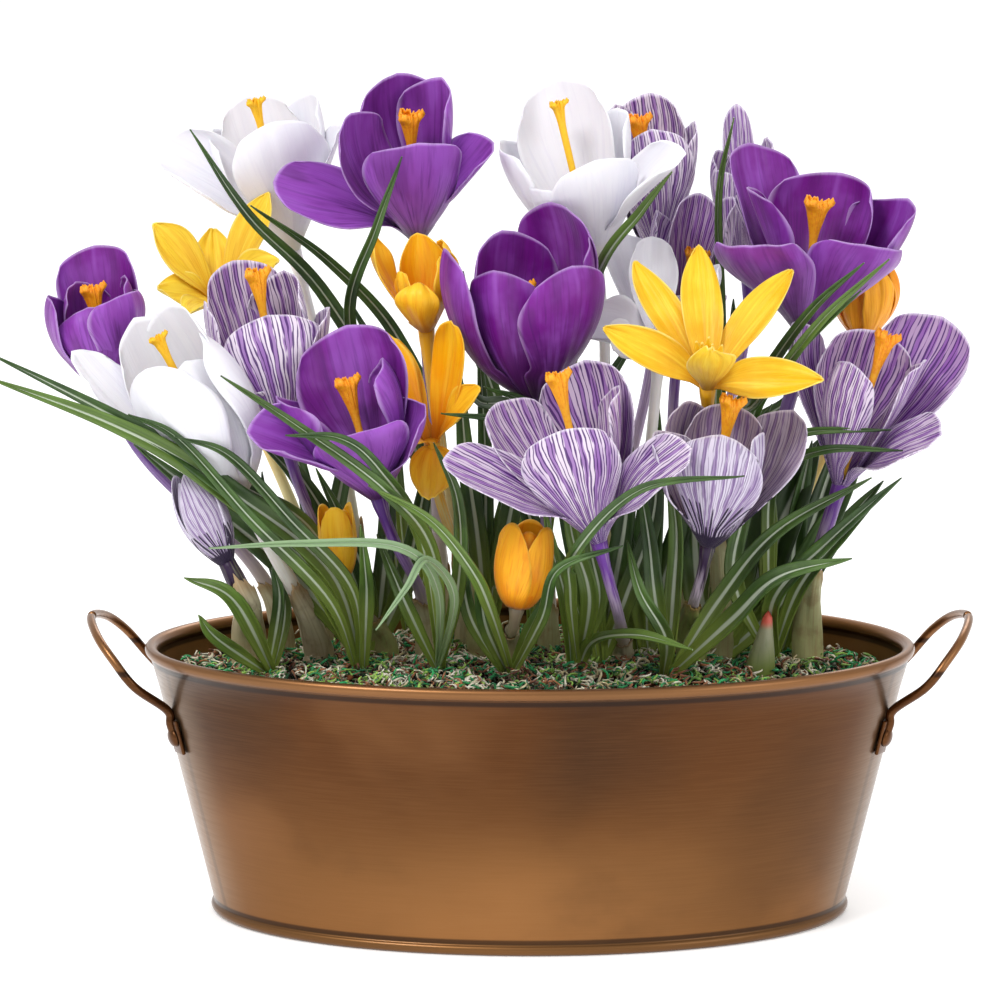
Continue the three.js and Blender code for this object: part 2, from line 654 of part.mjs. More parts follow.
// A petal in the bloom's frame: a cupped blade along a curved midrib, with both faces split alike. It
// rolls round its midrib, by the given degrees at the tip.
function petalSolid([azimuth, reach, rise, belly, width, roll = 0], outer, kind) {
  const { claw, low, high } = PETAL;
  const bulge = PETAL.swell * belly + (outer ? PETAL.layerStep : 0);
  const midrib = new THREE.CubicBezierCurve(
    new THREE.Vector2(claw, -PETAL.sink),
    new THREE.Vector2(claw + low.reach * reach + bulge, low.rise * rise + low.tilt * reach),
    new THREE.Vector2(high * reach + bulge, high * rise),
    new THREE.Vector2(reach, rise),
  );
  const faces = [[], []];
  PETAL.rows.forEach((u) => {
    const spot = midrib.getPoint(u);
    const along = midrib.getTangent(u);
    const inward = new THREE.Vector2(-along.y, along.x);
    const half = (width / 2) * outlineShare(u, kind);
    const turned = THREE.MathUtils.degToRad(roll) * THREE.MathUtils.smoothstep(u, 0, PETAL.rolledBy);
    const [cos, sin] = [Math.cos(turned), Math.sin(turned)];
    [-1, 0, 1].forEach((v) => {
      const bend = kind.cup * v;
      const sideways = (half * Math.sin(bend)) / Math.sin(kind.cup);
      const raised = (half * (1 - Math.cos(bend))) / Math.sin(kind.cup);
      const ribbed = v === 0 && u < 1 ? PETAL.rib / 2 : 0;
      [1, -1].forEach((face, k) => {
        const lift = (raised + face * ribbed) * cos + sideways * sin;
        const side = sideways * cos - (raised + face * ribbed) * sin;
        faces[k].push(new THREE.Vector3(spot.x + inward.x * lift, side, spot.y + inward.y * lift));
      });
    });
  });
  return solid(blade(faces, PETAL.rows.length, 3).rotateZ(THREE.MathUtils.degToRad(azimuth)));
}

// Two grids of points that meet along both edges and at the tip, split alike on both faces.
function blade([inner, outer], rows, columns) {
  const points = [...inner, ...outer];
  const back = inner.length;
  const triangles = [];
  for (let r = 0; r + 1 < rows; r += 1) {
    for (let c = 0; c + 1 < columns; c += 1) {
      const i = r * columns + c;
      const up = i + columns;
      triangles.push(i, i + 1, up + 1, i, up + 1, up);
      triangles.push(back + i, back + up + 1, back + i + 1, back + i, back + up, back + up + 1);
    }
  }
  for (let c = 0; c + 1 < columns; c += 1) {
    triangles.push(c + 1, c, back + c, c + 1, back + c, back + c + 1);
  }
  return geometryFrom(points, triangles);
}

// The stem stands upright in its hole, then bends over to the flower's axis.
function stemSolid(bloom) {
  const [footRadius, upperRadius] = bloom.stem ?? STEM.radii;
  const [x, y] = bloom.foot;
  const throat = vec(bloom.throat);
  const axis = vec(bloom.lean).normalize();
  const ground = new THREE.Vector3(x, y, STEM.straightTop);
  const pull = STEM.pull * ground.distanceTo(throat);
  const bend = new THREE.CubicBezierCurve3(
    ground, new THREE.Vector3(x, y, STEM.straightTop + pull),
    throat.clone().addScaledVector(axis, -pull), throat,
  );
  const rings = [ringAround(new THREE.Vector3(x, y, SOIL.pitBottom + GAP), UP, footRadius, STEM.sides)];
  for (let k = 0; k < STEM.steps; k += 1) {
    const t = k / STEM.steps;
    const thinning = THREE.MathUtils.smoothstep(t, 0, STEM.thinBy);
    const radius = THREE.MathUtils.lerp(footRadius, upperRadius, thinning);
    rings.push(ringAround(bend.getPoint(t), bend.getTangent(t).normalize(), radius, STEM.sides));
  }
  const { below, widening, above, radius } = STEM.collar;
  const collar = (shift, size) => ringAround(
    throat.clone().addScaledVector(axis, shift), axis, size, STEM.sides,
  );
  return loft([...rings, collar(-below, upperRadius * widening), collar(above, radius)]);
}

function bloomSolid(bloom) {
  const kind = KINDS[bloom.kind];
  const frame = bloomFrame(bloom);
  const petals = bloom.petals.map((petal, i) => petalSolid(petal, i % 2 === 0, kind));
  const core = bloom.core ? [coreSolid(bloom.core)] : [];
  const inPlace = (piece) => solid(toGeometry(piece).applyMatrix4(frame));
  return fused([stemSolid(bloom), ...[...petals, ...core].map(inPlace)]);
}

// The furled inner petals of a bud: a spindle, as [greatest radius, height].
function coreSolid([radius, height]) {
  const rings = CORE.rings.map(([rise, share]) => ringAround(
    new THREE.Vector3(0, 0, rise * (height + CORE.foot) - CORE.foot), UP, radius * share, STEM.sides,
  ));
  return loft([...rings, [new THREE.Vector3(0, 0, height)]]);
}

// The style: a slim stalk from the throat that opens in a three-lobed trumpet.
function styleSolid(bloom) {
  const fork = bloom.style * (1 - STYLE.headShare);
  const ring = (height, radius) => ringAround(new THREE.Vector3(0, 0, height), UP, radius, STYLE.sides);
  const lobes = angles(STYLE.sides).map((angle, i) => {
    const radius = i % 2 === 0 ? STYLE.lobe : STYLE.notch;
    return new THREE.Vector3(radius * Math.cos(angle), radius * Math.sin(angle), bloom.style);
  });
  const trumpet = loft([
    ring(STYLE.base, STYLE.stalkRadius), ring(fork, STYLE.stalkRadius * STYLE.widening),
    lobes, [new THREE.Vector3(0, 0, bloom.style - STYLE.dip)],
  ]);
  return solid(toGeometry(trumpet).applyMatrix4(bloomFrame(bloom)));
}

// ---- Leaves and the young shoot -----------------------------------------

// A keeled blade: two edges and a keel behind, narrowing to a point.
function leafSolid(foot, [width, ...way], turn) {
  const spread = LEAF.rootSpread;
  const root = new THREE.Vector3(
    foot[0] + spread * Math.cos(turn), foot[1] + spread * Math.sin(turn), LEAF.rootHeight,
  );
  const facing = vec(LEAF.facing).normalize();
  const route = new THREE.CatmullRomCurve3([root, ...way.map(vec)], false, 'catmullrom', 0.5);
  const steps = way.length + LEAF.extraSteps;
  const rings = [];
  for (let k = 0; k < steps; k += 1) {
    const t = k / steps;
    const spot = route.getPoint(t);
    const along = route.getTangent(t).normalize();
    const across = new THREE.Vector3().crossVectors(along, facing).normalize();
    const behind = new THREE.Vector3().crossVectors(across, along).normalize();
    const half = (width / 2) * Math.min(1, LEAF.footShare + LEAF.widenRate * t) * (1 - t ** LEAF.tipPower);
    rings.push([
      spot.clone().addScaledVector(across, -half), spot.clone().addScaledVector(across, half),
      spot.clone().addScaledVector(behind, -LEAF.keel),
    ]);
  }
  rings.push([route.getPoint(1)]);
  return loft(rings);
}

function tuftSolid(tuft) {
  const [x, y] = tuft.foot;
  const ring = (height, radius) => ringAround(new THREE.Vector3(x, y, height), UP, radius, STEM.sides);
  const sheath = loft([
    ring(SOIL.pitBottom + GAP, LEAF.sheathRadius), ring(STEM.straightTop, LEAF.sheathRadius),
    ring(LEAF.sheathTop, LEAF.sheathRadius * LEAF.sheathTaper),
  ]);
  const turns = angles(tuft.leaves.length);
  const leaves = tuft.leaves.map((leaf, i) => leafSolid(tuft.foot, leaf, turns[i]));
  return fused([sheath, ...leaves]);
}

function shootSolid() {
  const [x, y] = SHOOT.foot;
  const tip = vec(SHOOT.tip);
  const rings = [ringAround(new THREE.Vector3(x, y, SOIL.pitBottom + GAP), UP, SHOOT.radius, STEM.sides)];
  SHOOT.rings.forEach(([t, share]) => {
    const centre = new THREE.Vector3(x, y, STEM.straightTop).lerp(tip, t);
    rings.push(ringAround(centre, UP, SHOOT.radius * share, STEM.sides));
  });
  rings.push([tip]);
  return loft(rings);
}

// ---- Assembly -----------------------------------------------------------

const group = new THREE.Group();

function add(name, manifold, color, roughness, metalness = 0) {
  const material = new THREE.MeshStandardMaterial({ color, roughness, metalness });
  const mesh = new THREE.Mesh(toGeometry(manifold), material);
  mesh.name = name;
  group.add(mesh);
}

const COPPER = 0x9a5c2c;
const handleEnds = [['left', -1], ['right', 1]];
const feet = handleEnds.map(([, end]) => [footFrame(end, -1), footFrame(end, 1)]);
const rivetPockets = feet.flat().map((frame) => rivetHole(frame, RIVET.tailRadius + GAP, RIVET.pocketDrill));

add('tub_wall', feet.flat().reduce(
  (wall, frame) => wall.subtract(rivetHole(frame, RIVET.shankRadius + GAP, RIVET.wallDrill)), wallSolid(),
), COPPER, 0.38, 0.9);
add('tub_floor', floorSolid(), COPPER, 0.45, 0.9);
handleEnds.forEach(([side, end], k) => {
  add(`handle_${side}`, handleSolid(end, feet[k]), COPPER, 0.35, 0.9);
  add(`rivet_${side}_front`, rivetSolid(feet[k][0]), COPPER, 0.4, 0.9);
  add(`rivet_${side}_back`, rivetSolid(feet[k][1]), COPPER, 0.4, 0.9);
});
add('soil', soilSolid().subtract(stemHoles()).subtract(joined(rivetPockets)), 0x33261c, 0.95);
add('shoot', shootSolid(), 0xc9cfa0, 0.55);
BLOOMS.forEach((bloom) => add(bloom.name, bloomSolid(bloom), KINDS[bloom.kind].color, 0.5));
BLOOMS.filter((bloom) => bloom.style).forEach((bloom) => {
  add(`${bloom.name}_style`, styleSolid(bloom), 0xf59a00, 0.5);
});
TUFTS.forEach((tuft) => add(tuft.name, tuftSolid(tuft), 0x2f5f22, 0.45));

export default group;
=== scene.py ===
# Crocuses in an oval copper-finish tub. Lengths are millimetres, except in materials and in the studio,
# which use metres; +Z is up, and the origin is the middle of the tub's underside.
import math
import random

import bpy
from mathutils import Matrix, Vector, noise


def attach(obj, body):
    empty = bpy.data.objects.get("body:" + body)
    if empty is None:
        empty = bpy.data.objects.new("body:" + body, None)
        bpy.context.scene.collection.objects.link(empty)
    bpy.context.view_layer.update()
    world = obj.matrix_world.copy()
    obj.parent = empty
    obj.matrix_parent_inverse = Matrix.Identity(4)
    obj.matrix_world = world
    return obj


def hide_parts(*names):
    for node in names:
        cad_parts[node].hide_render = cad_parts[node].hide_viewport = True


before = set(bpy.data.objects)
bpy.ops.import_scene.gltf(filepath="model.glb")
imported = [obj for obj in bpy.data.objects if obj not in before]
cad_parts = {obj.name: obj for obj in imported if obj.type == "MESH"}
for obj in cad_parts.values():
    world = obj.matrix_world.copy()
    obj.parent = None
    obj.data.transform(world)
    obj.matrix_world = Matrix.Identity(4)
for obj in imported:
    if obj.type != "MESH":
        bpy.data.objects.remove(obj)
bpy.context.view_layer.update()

MM = 0.001
TAU = 2 * math.pi
UP = Vector((0, 0, 1))
WELD = 1e-6
SOFT_CORNER = math.radians(35)

TUB = dict(length=240, depth=140, height=85, base_scale=0.83, sheet=1.0, rim_bead=4.0, base_bead=3.3,
           floor=1.0, sides=240)
# Heights of the two dark grooves, in metres
RIM_GROOVE, BASE_GROOVE = 0.0803, 0.0042
# leg: points of the wire, as rise above a foot and distance out; loop: points as x, y and z, to its middle
HANDLE = dict(wire=2.8, foot_height=59, foot_spread=17, plate=(7, 11, 1.2), corner=0.45,
              leg=((-2, -0.5), (4.2, 0), (9, 0)),
              loop=((121, 25, 76), (127.5, 23.5, 84), (133, 16, 90), (136.2, 0, 93)))
RIVET = dict(head=3, rise=1.6, shank=1.3, shank_length=4.6)
SOIL = dict(edge=73, mound=3.5, relief=0.8, wall_gap=1.0, bottom=1.3, sides=200, rings=24)
# Pairs are the least and the most of a random draw
CURL = dict(steps=5, shapes=24, bow=(0.8, 1.9), sweep=(1.6, 4.6), thick=(0.34, 0.5), climb=0.25,
            thinning=0.55, size=(0.8, 1.35), tilt=0.8, lift=(0.2, 2.6), patch=0.09, bare=(-0.55, 0.25),
            hummock=0.12, hummock_height=1.6)
BARK = dict(chips=90, clear_of_wall=7, length=(1.2, 3.2), width=(0.5, 0.8), height=(0.35, 0.6),
            tilt=(-0.5, 0.5), roughness=0.45, above_soil=0.8)
STEM = dict(radii=(2.8, 1.7), sunk=66.3, straight=79, pull=0.36, thin_by=0.45, upright_share=0.12,
            flare=0.9)
# spread: radius of the funnel and how deep its lobes are cut
STYLE = dict(start=1.6, stalk=0.95, stalk_share=0.4, white_head=9.5, head_share=0.42, longest_head=15,
             white_spread=(2.3, 0.9), spread=3.6, lobes=0.4)
# Reach from the axis and rise along it
STAMEN = dict(count=6, first=0.3, long=(4.5, 15.5), short=(1.8, 18.5))
THICK = dict(petal=0.32, style=0.4, sheath=0.25, leaf=0.5)
# Steps across and along each kind of sheet
GRID = dict(petal=(26, 32), bud=(18, 24), tube=(16, 30), style=(96, 24), stamen=(12, 22), sheath=(32, 24),
            leaf=(10, 40), wire=(20, 120), shoot=(28, 30))
SEED = dict(moss=11, bark=5, plants=3)
CLAW = 1.7
LAYER_STEP = 2.8
GAP = 0.3
LEAF = dict(root_ring=1.2, root_height=75, half_width=0.55, tip=0.06, channel=0.38, groove=0.28,
            twist=0.35, sway=0.3)
SHEATH = dict(start=0.06, clearance=0.35, slack=0.5, top=(0.28, 0.42), green=(0.0, 0.5), slant=0.7)

# How far a petal cups round, in radians, and where its outline is widest
CUP = dict(purple=0.75, white=0.75, striped=0.7, yellow=0.5)
SHOULDER = 1.05
TIP = dict(purple=0.52, white=0.62, striped=0.5, yellow=0.75)
STAR_TIP = 0.9
# How much shorter a petal is at its sides than in the middle
TIP_DROP = dict(purple=0.2, white=0.2, striped=0.2, yellow=0.1)
STAR_TIP_DROP = 0.04
VARIETY = dict(point=(0.1, 0.35), wave=(0.4, 1.1), tip_curl=(-1.2, 2.6), edge_curl=(-0.16, 0.3),
               uneven=(-0.09, 0.09), skew=(-0.05, 0.05), tone=(-0.15, 0.15))
BROADER = dict(purple=1.15, white=1.12, striped=1.12, yellow=0.98)

# foot: where the stem stands; throat: where the petals open; lean: the flower's axis; upright: how far
# the stem rises before it bends; stem: its radius at the foot and above; style: its length; tone: paler
# above 0, deeper below; bud: a closed flower, and the azimuths of its lobes.
# petals: azimuth in degrees, reach from the axis, rise along it, belly, width, roll in degrees.
BLOOMS = [
    dict(name="purple_far_left", tone=-0.25, foot=(-78, 24), throat=(-129, 2, 164),
         lean=(-0.19, 0.06, 0.98), style=34,
         petals=[(15, 12, 34, 3, 16), (80, 14, 44, 4, 23), (140, 8, 35, 3, 18),
                 (195, 15, 33, 7, 20, -25), (268, 16, 28, 6, 20), (314, 20, 29, 5, 24, 15)]),
    dict(name="purple_top", tone=0.15, foot=(-28, 34), throat=(-35, 28, 208),
         lean=(-0.06, -0.2, 0.98), style=42,
         petals=[(105, 16, 50, 5, 25), (190, 20, 43, 6, 24, -42), (196, 45, 24, -4, 18, -50),
                 (278, 26, 39, 7, 27), (342, 27, 32, -3, 15, 40), (38, 14, 49, 4, 22)]),
    dict(name="purple_middle", tone=-0.8, foot=(6, 22), throat=(1, -8, 164),
         lean=(-0.12, 0, 0.99), style=36,
         petals=[(45, 18, 57, 9, 30), (125, 6, 51, 9, 28), (188, 21, 48, 10, 26),
                 (238, 14, 41, 9, 24), (305, 29, 41, 10, 28), (5, 22, 46, 11, 27)]),
    dict(name="purple_front_left", foot=(-32, 12), throat=(-46, -38, 138),
         lean=(-0.27, 0.06, 0.96), style=38,
         petals=[(8, 14, 40, 5, 20), (75, 14, 51, 4, 31), (180, 20, 37, 5, 24),
                 (205, 36, 29, -4, 20, -45), (268, 26, 22, 4, 26), (340, 24, 23, 4, 24, 35)]),
    dict(name="purple_top_right", tone=-0.2, foot=(62, 28), throat=(85, 17, 180),
         lean=(0.09, -0.05, 0.99), style=43, style_spread=4.4, stem=(4.2, 2.2),
         petals=[(5, 28, 44, 6, 27, 20), (62, 20, 48, 5, 31), (125, 36, 53, 4, 25),
                 (185, 21, 44, 2, 18), (240, 43, 31, 3, 26, 14), (305, 29, 33, 4, 28, -12)]),
    dict(name="white_left", foot=(-66, 10), throat=(-88, -29, 138),
         lean=(-0.47, 0.04, 0.88), style=54, stem=(3.3, 2.4), upright=0.3,
         petals=[(5, 12, 48, 10, 25), (50, 10, 60, 8, 26), (110, 10, 60, 8, 24),
                 (180, 25, 61, 5, 20, -25), (245, 14, 46, 8, 26), (300, 8, 42, 8, 24)]),
    dict(name="white_top_left", foot=(-54, 42), throat=(-75, 50, 202),
         lean=(-0.24, -0.09, 0.97), style=50,
         petals=[(40, 22, 45, 3, 22), (105, 14, 49, 5, 24), (155, 19, 42, 3, 20),
                 (188, 35, 41, -3, 22, -45), (284, 20, 44, 5, 28), (345, 26, 36, 3, 20, 20)]),
    dict(name="white_top", foot=(16, 38), throat=(20, 27, 201),
         lean=(-0.23, -0.04, 0.97), style=52,
         petals=[(38, 22, 43, 4, 24), (82, 14, 57, 5, 27), (168, 22, 43, 5, 26),
                 (222, 20, 28, 4, 20, -20), (288, 25, 34, 5, 27), (328, 42, 29, -3, 18, 35)]),
    dict(name="white_middle", foot=(34, 24), throat=(40, 10, 175),
         lean=(0.07, 0.06, 0.99),
         petals=[(10, 19, 28, 3, 16), (104, 17, 34, 3, 14), (120, 32, 34, 4, 16),
                 (180, 24, 5, -2, 18, -40), (232, 24, 1, -2, 16, -40), (310, 17, 11, 0, 16)]),
    dict(name="striped_left", tone=-0.4, foot=(-56, 22), throat=(-75, -3, 149),
         lean=(-0.17, 0, 0.98), style=55,
         petals=[(45, 12, 51, 4, 25), (118, 17, 56, 5, 25), (185, 17, 47, 5, 18),
                 (228, 19, 18, -4, 15, -20), (278, 16, 42, 8, 30), (350, 21, 39, 4, 20, 15)]),
    dict(name="striped_front", foot=(29, 10), throat=(20, -52, 127),
         lean=(-0.25, 0.05, 0.97), style=53, upright=0.4,
         petals=[(60, 20, 52, 5, 29), (152, 23, 46, 3, 23, -20), (198, 41, 36, -5, 19, -50),
                 (268, 20, 37, 6, 26), (334, 37, 22, -5, 18, 50), (15, 18, 43, 3, 17)]),
    dict(name="striped_front_right", look="dark", foot=(50, 4), throat=(53, -46, 125),
         lean=(0.15, 0, 0.99), style=46,
         petals=[(40, 25, 41, 6, 24), (85, 8, 41, 6, 22), (140, 15, 40, 6, 22),
                 (188, 20, 32, 5, 20, -40), (259, 14, 35, 8, 24), (325, 11, 36, 8, 20, 20)]),
    dict(name="striped_right", tone=0.15, foot=(87, 14), throat=(95, -12, 137),
         lean=(0.28, 0, 0.96), style=50, stem=(3.4, 2.2),
         petals=[(48, 27, 56, 3, 28, 15), (98, 12, 47, 4, 27), (160, 30, 43, 3, 20, -15),
                 (224, 14, 38, 5, 18), (318, 31, 25, -5, 21, 45), (355, 15, 44, 2, 14)]),
    dict(name="striped_top", tone=-0.6, foot=(24, 50), throat=(40, 59.5, 199),
         lean=(-0.13, -0.05, 0.99), style=46,
         petals=[(10, 17, 40, 4, 20), (66, 14, 50, 4, 22), (140, 8, 48, 4, 20),
                 (200, 9, 40, 3, 18), (285, 14, 42, 6, 22)]),
    dict(name="striped_back_right", tone=-0.4, foot=(46, 48), throat=(70, 59, 194),
         lean=(-0.08, 0, 0.99),
         petals=[(25, 9, 41, 3, 10), (88, 12, 52, 2, 9), (150, 9, 39, 3, 13),
                 (215, 11, 33, 3, 13), (300, 7, 33, 3, 12)]),
    dict(name="striped_dark", foot=(48, 38), throat=(48, 42, 175),
         lean=(0.16, -0.07, 0.98), style=29,
         petals=[(20, 9, 46, 3, 15), (100, 8, 45, 2, 14), (165, 15, 38, 3, 15),
                 (235, 17, 15, 0, 13), (310, 14, 16, 0, 13)]),
    dict(name="striped_bud", look="dark", foot=(-88, 8), throat=(-92, -34, 117),
         lean=(-0.43, 0, 0.9), stem=(4.2, 3), bud=dict(radius=3.6, height=31, lobes=(30, 150, 285))),
    dict(name="yellow_star_left", look="lemon", tone=0.25, foot=(-66, 36),
         throat=(-97, 28, 188), lean=(-0.05, -0.37, 0.93),
         petals=[(40, 24, 29, -2, 15), (95, 23, 12, -2, 13), (160, 20, 25, -2, 15, -20),
                 (205, 21, 9, -3, 14, -30), (250, 22, 9, -3, 13), (345, 21, 16, -2, 14, 30)]),
    dict(name="yellow_cup", foot=(-20, 26), throat=(-32, 4, 183),
         lean=(-0.05, -0.07, 0.99),
         petals=[(35, 9, 27, 3, 14), (100, 8, 28, 3, 15), (165, 17, 29, 3, 13),
                 (213, 9, 19, 3, 12), (260, 10, 17, 6, 14), (345, 8, 23, 4, 13)]),
    dict(name="yellow_open", foot=(-16, 14), throat=(-30, -16, 151),
         lean=(0.01, -0.26, 0.97),
         petals=[(128, 20, 27, 2, 12), (150, 22, 33, 2, 15), (212, 15, 10, -2, 14, -30),
                 (268, 24, -10, -6, 15), (350, 15, 19, -4, 12, 30), (50, 10, 37, 3, 14)]),
    dict(name="yellow_star", look="lemon", tone=-0.4, foot=(60, 14), throat=(53, -34, 171),
         lean=(-0.03, -0.6, 0.8), style=19,
         petals=[(50, 42, 16, -2, 12), (92, 42, 18, -2, 13), (120, 42, 17, -2, 12),
                 (160, 33, 14, -3, 12, -35), (270, 21, 34, -2, 15), (343, 36, 12, -4, 13, 35)]),
    dict(name="yellow_bud", look="amber", foot=(-6, 4), throat=(-4, -44, 106),
         lean=(0.14, 0, 0.99), bud=dict(radius=6.5, height=26, lobes=(90, 220, 322))),
    dict(name="yellow_small_bud", foot=(-46, 12), throat=(-58, -14, 109),
         lean=(-0.08, 0, 0.99), bud=dict(radius=4, height=23, lobes=(30, 150, 270))),
    dict(name="yellow_back_right", look="amber", foot=(76, 38), throat=(105, 40, 175),
         lean=(0.06, 0, 0.99), stem=(4, 2),
         petals=[(10, 7, 24, 5, 14), (90, 6, 26, 5, 15), (170, 7, 24, 5, 14),
                 (235, 8, 22, 5, 13), (300, 7, 23, 5, 13)]),
]
for bloom in BLOOMS:
    bloom['kind'] = bloom['name'].split('_')[0]

# foot: where the tuft stands. Each leaf has a width, and the points that it passes through after its foot
TUFTS = [
    dict(name="leaves_far_left", foot=(-80, -6), leaves=[
        (5, (-90, -34, 105), (-104, -44, 114)), (4, (-95, -30, 92), (-100, -42, 102)),
        (4, (-77, -14, 100), (-79, -14, 112)), (4, (-76, -4, 96), (-81, 0, 117), (-83, 4, 138)),
    ]),
    dict(name="leaves_left", foot=(-52, -4), leaves=[
        (6.4, (-70, -24, 116), (-99, -40, 145), (-125, -46, 161), (-162, -50, 176)),
        (6.2, (-61, -26, 112), (-90, -38, 139), (-120, -42, 160), (-163, -44, 183)),
        (3.6, (-65, -6, 118), (-86, -16, 136), (-109, -22, 149), (-141, -26, 163)),
        (3.6, (-61, -26, 103), (-84, -40, 131), (-105, -44, 156), (-120, -46, 164)),
        (3.6, (-54, -26, 106), (-72, -38, 130), (-90, -44, 151), (-106, -50, 158)),
        (4, (-50, -26, 103), (-50, -36, 115), (-51, -44, 130)),
    ]),
    dict(name="leaves_mid_left", foot=(-28, -6), leaves=[
        (3.6, (-29, -42, 120), (-43, -64, 144), (-68, -70, 164), (-91, -68, 179)),
        (3.4, (-33, -40, 125), (-45, -66, 151), (-56, -72, 161), (-72, -72, 162)),
        (2.6, (-28, -44, 110), (-39, -64, 127), (-68, -68, 129), (-95, -70, 128)),
        (2.4, (-23, -42, 107), (-31, -58, 122), (-37, -66, 115), (-46, -68, 103)),
        (4, (-22, -30, 110), (-22, -38, 136), (-29, -44, 155)),
        (4, (-37, -18, 98), (-42, -18, 110), (-47, -16, 122)),
    ]),
    dict(name="leaves_front", foot=(-6, -14), leaves=[
        (3.6, (-12, -40, 103), (-18, -56, 119), (-30, -62, 135), (-48, -66, 146)),
        (4, (-13, -32, 95), (-15, -38, 106), (-16, -42, 114)),
        (4, (0, -26, 94), (5, -28, 104), (8, -28, 116)),
        (3.2, (3, -44, 101), (8, -62, 120), (27, -66, 128)),
        (4, (-18, -24, 97), (-21, -26, 116), (-23, -26, 134)),
    ]),
    dict(name="leaves_centre", foot=(14, -4), leaves=[
        (3.6, (12, -34, 106), (13, -62, 125), (32, -78, 147), (62, -78, 151)),
        (5, (18, -24, 103), (13, -24, 122), (10, -24, 140)),
        (5, (21, -6, 98), (19, -4, 114), (17, -2, 132)), (4, (11, -20, 101), (7, -22, 117), (4, -22, 132)),
        (4, (19, -16, 88), (32, -42, 96), (48, -58, 95)),
    ]),
    dict(name="leaves_mid_right", foot=(42, -12), leaves=[
        (5, (38, -24, 103), (36, -24, 122), (33, -20, 140)),
        (5, (44, -12, 101), (45, -8, 122), (42, -4, 143)),
        (4, (41, -34, 93), (33, -40, 109), (29, -36, 124)),
        (6, (61, -30, 98), (74, -48, 115), (95, -60, 123)),
        (5, (58, -14, 101), (75, -22, 124), (103, -30, 142)),
    ]),
    dict(name="leaves_right", foot=(76, 10), leaves=[
        (5, (75, -10, 100), (91, -22, 121), (112, -30, 142)),
        (3.6, (74, 2, 110), (75, -6, 137), (88, -28, 150), (112, -34, 151)),
        (3.6, (75, 6, 116), (74, 2, 139), (82, -16, 153), (109, -26, 156)),
        (4, (72, 14, 127), (69, 16, 149), (74, 10, 163), (85, 4, 170)),
        (4.5, (83, -6, 103), (96, -18, 123), (106, -26, 136)),
        (5, (63, -4, 105), (67, 2, 129), (70, 6, 154)),
    ]),
    dict(name="leaves_back_left", foot=(-38, 52), leaves=[
        (4.4, (-33, 40, 129), (-63, 33, 187), (-87, 16, 216), (-104, 5, 244)),
        (4, (-28, 44, 135), (-41, 38, 174), (-62, 27, 200), (-86, 10, 220)),
        (3.6, (-46, 40, 143), (-56, 12, 185), (-47, -6, 215), (-39, -8, 237)),
        (4, (-46, 36, 120), (-62, 32, 150), (-78, 32, 184)),
        (4, (-42, 54, 121), (-46, 58, 159), (-58, 60, 185)),
    ]),
    dict(name="leaves_back_middle", foot=(2, 52), leaves=[
        (4, (10, 44, 148), (21, 14, 198), (34, 2, 219), (43, -4, 232)),
        (4, (-9, 52, 146), (-19, 54, 175), (-21, 54, 194)),
        (4, (-3, 48, 144), (-16, 30, 156), (-25, 12, 167)),
        (4, (10, 40, 139), (25, 34, 162), (35, 30, 179)),
    ]),
    dict(name="leaves_back_right", foot=(64, 46), leaves=[
        (2.9, (59, 36, 149), (60, 30, 179), (58, 12, 222), (62, 0, 248)),
        (3.6, (60, 44, 147), (64, 38, 173), (64, 32, 188)),
        (3.6, (64, 20, 148), (72, -5, 170), (85, -21, 192), (100, -27, 207)),
        (3.6, (65, 16, 146), (74, -12, 168), (88, -27, 190), (107, -34, 209)),
        (3.6, (62, 12, 147), (69, -6, 161), (82, -22, 181), (99, -30, 199)),
        (4, (69, 50, 137), (83, 52, 153), (96, 50, 170)),
    ]),
]

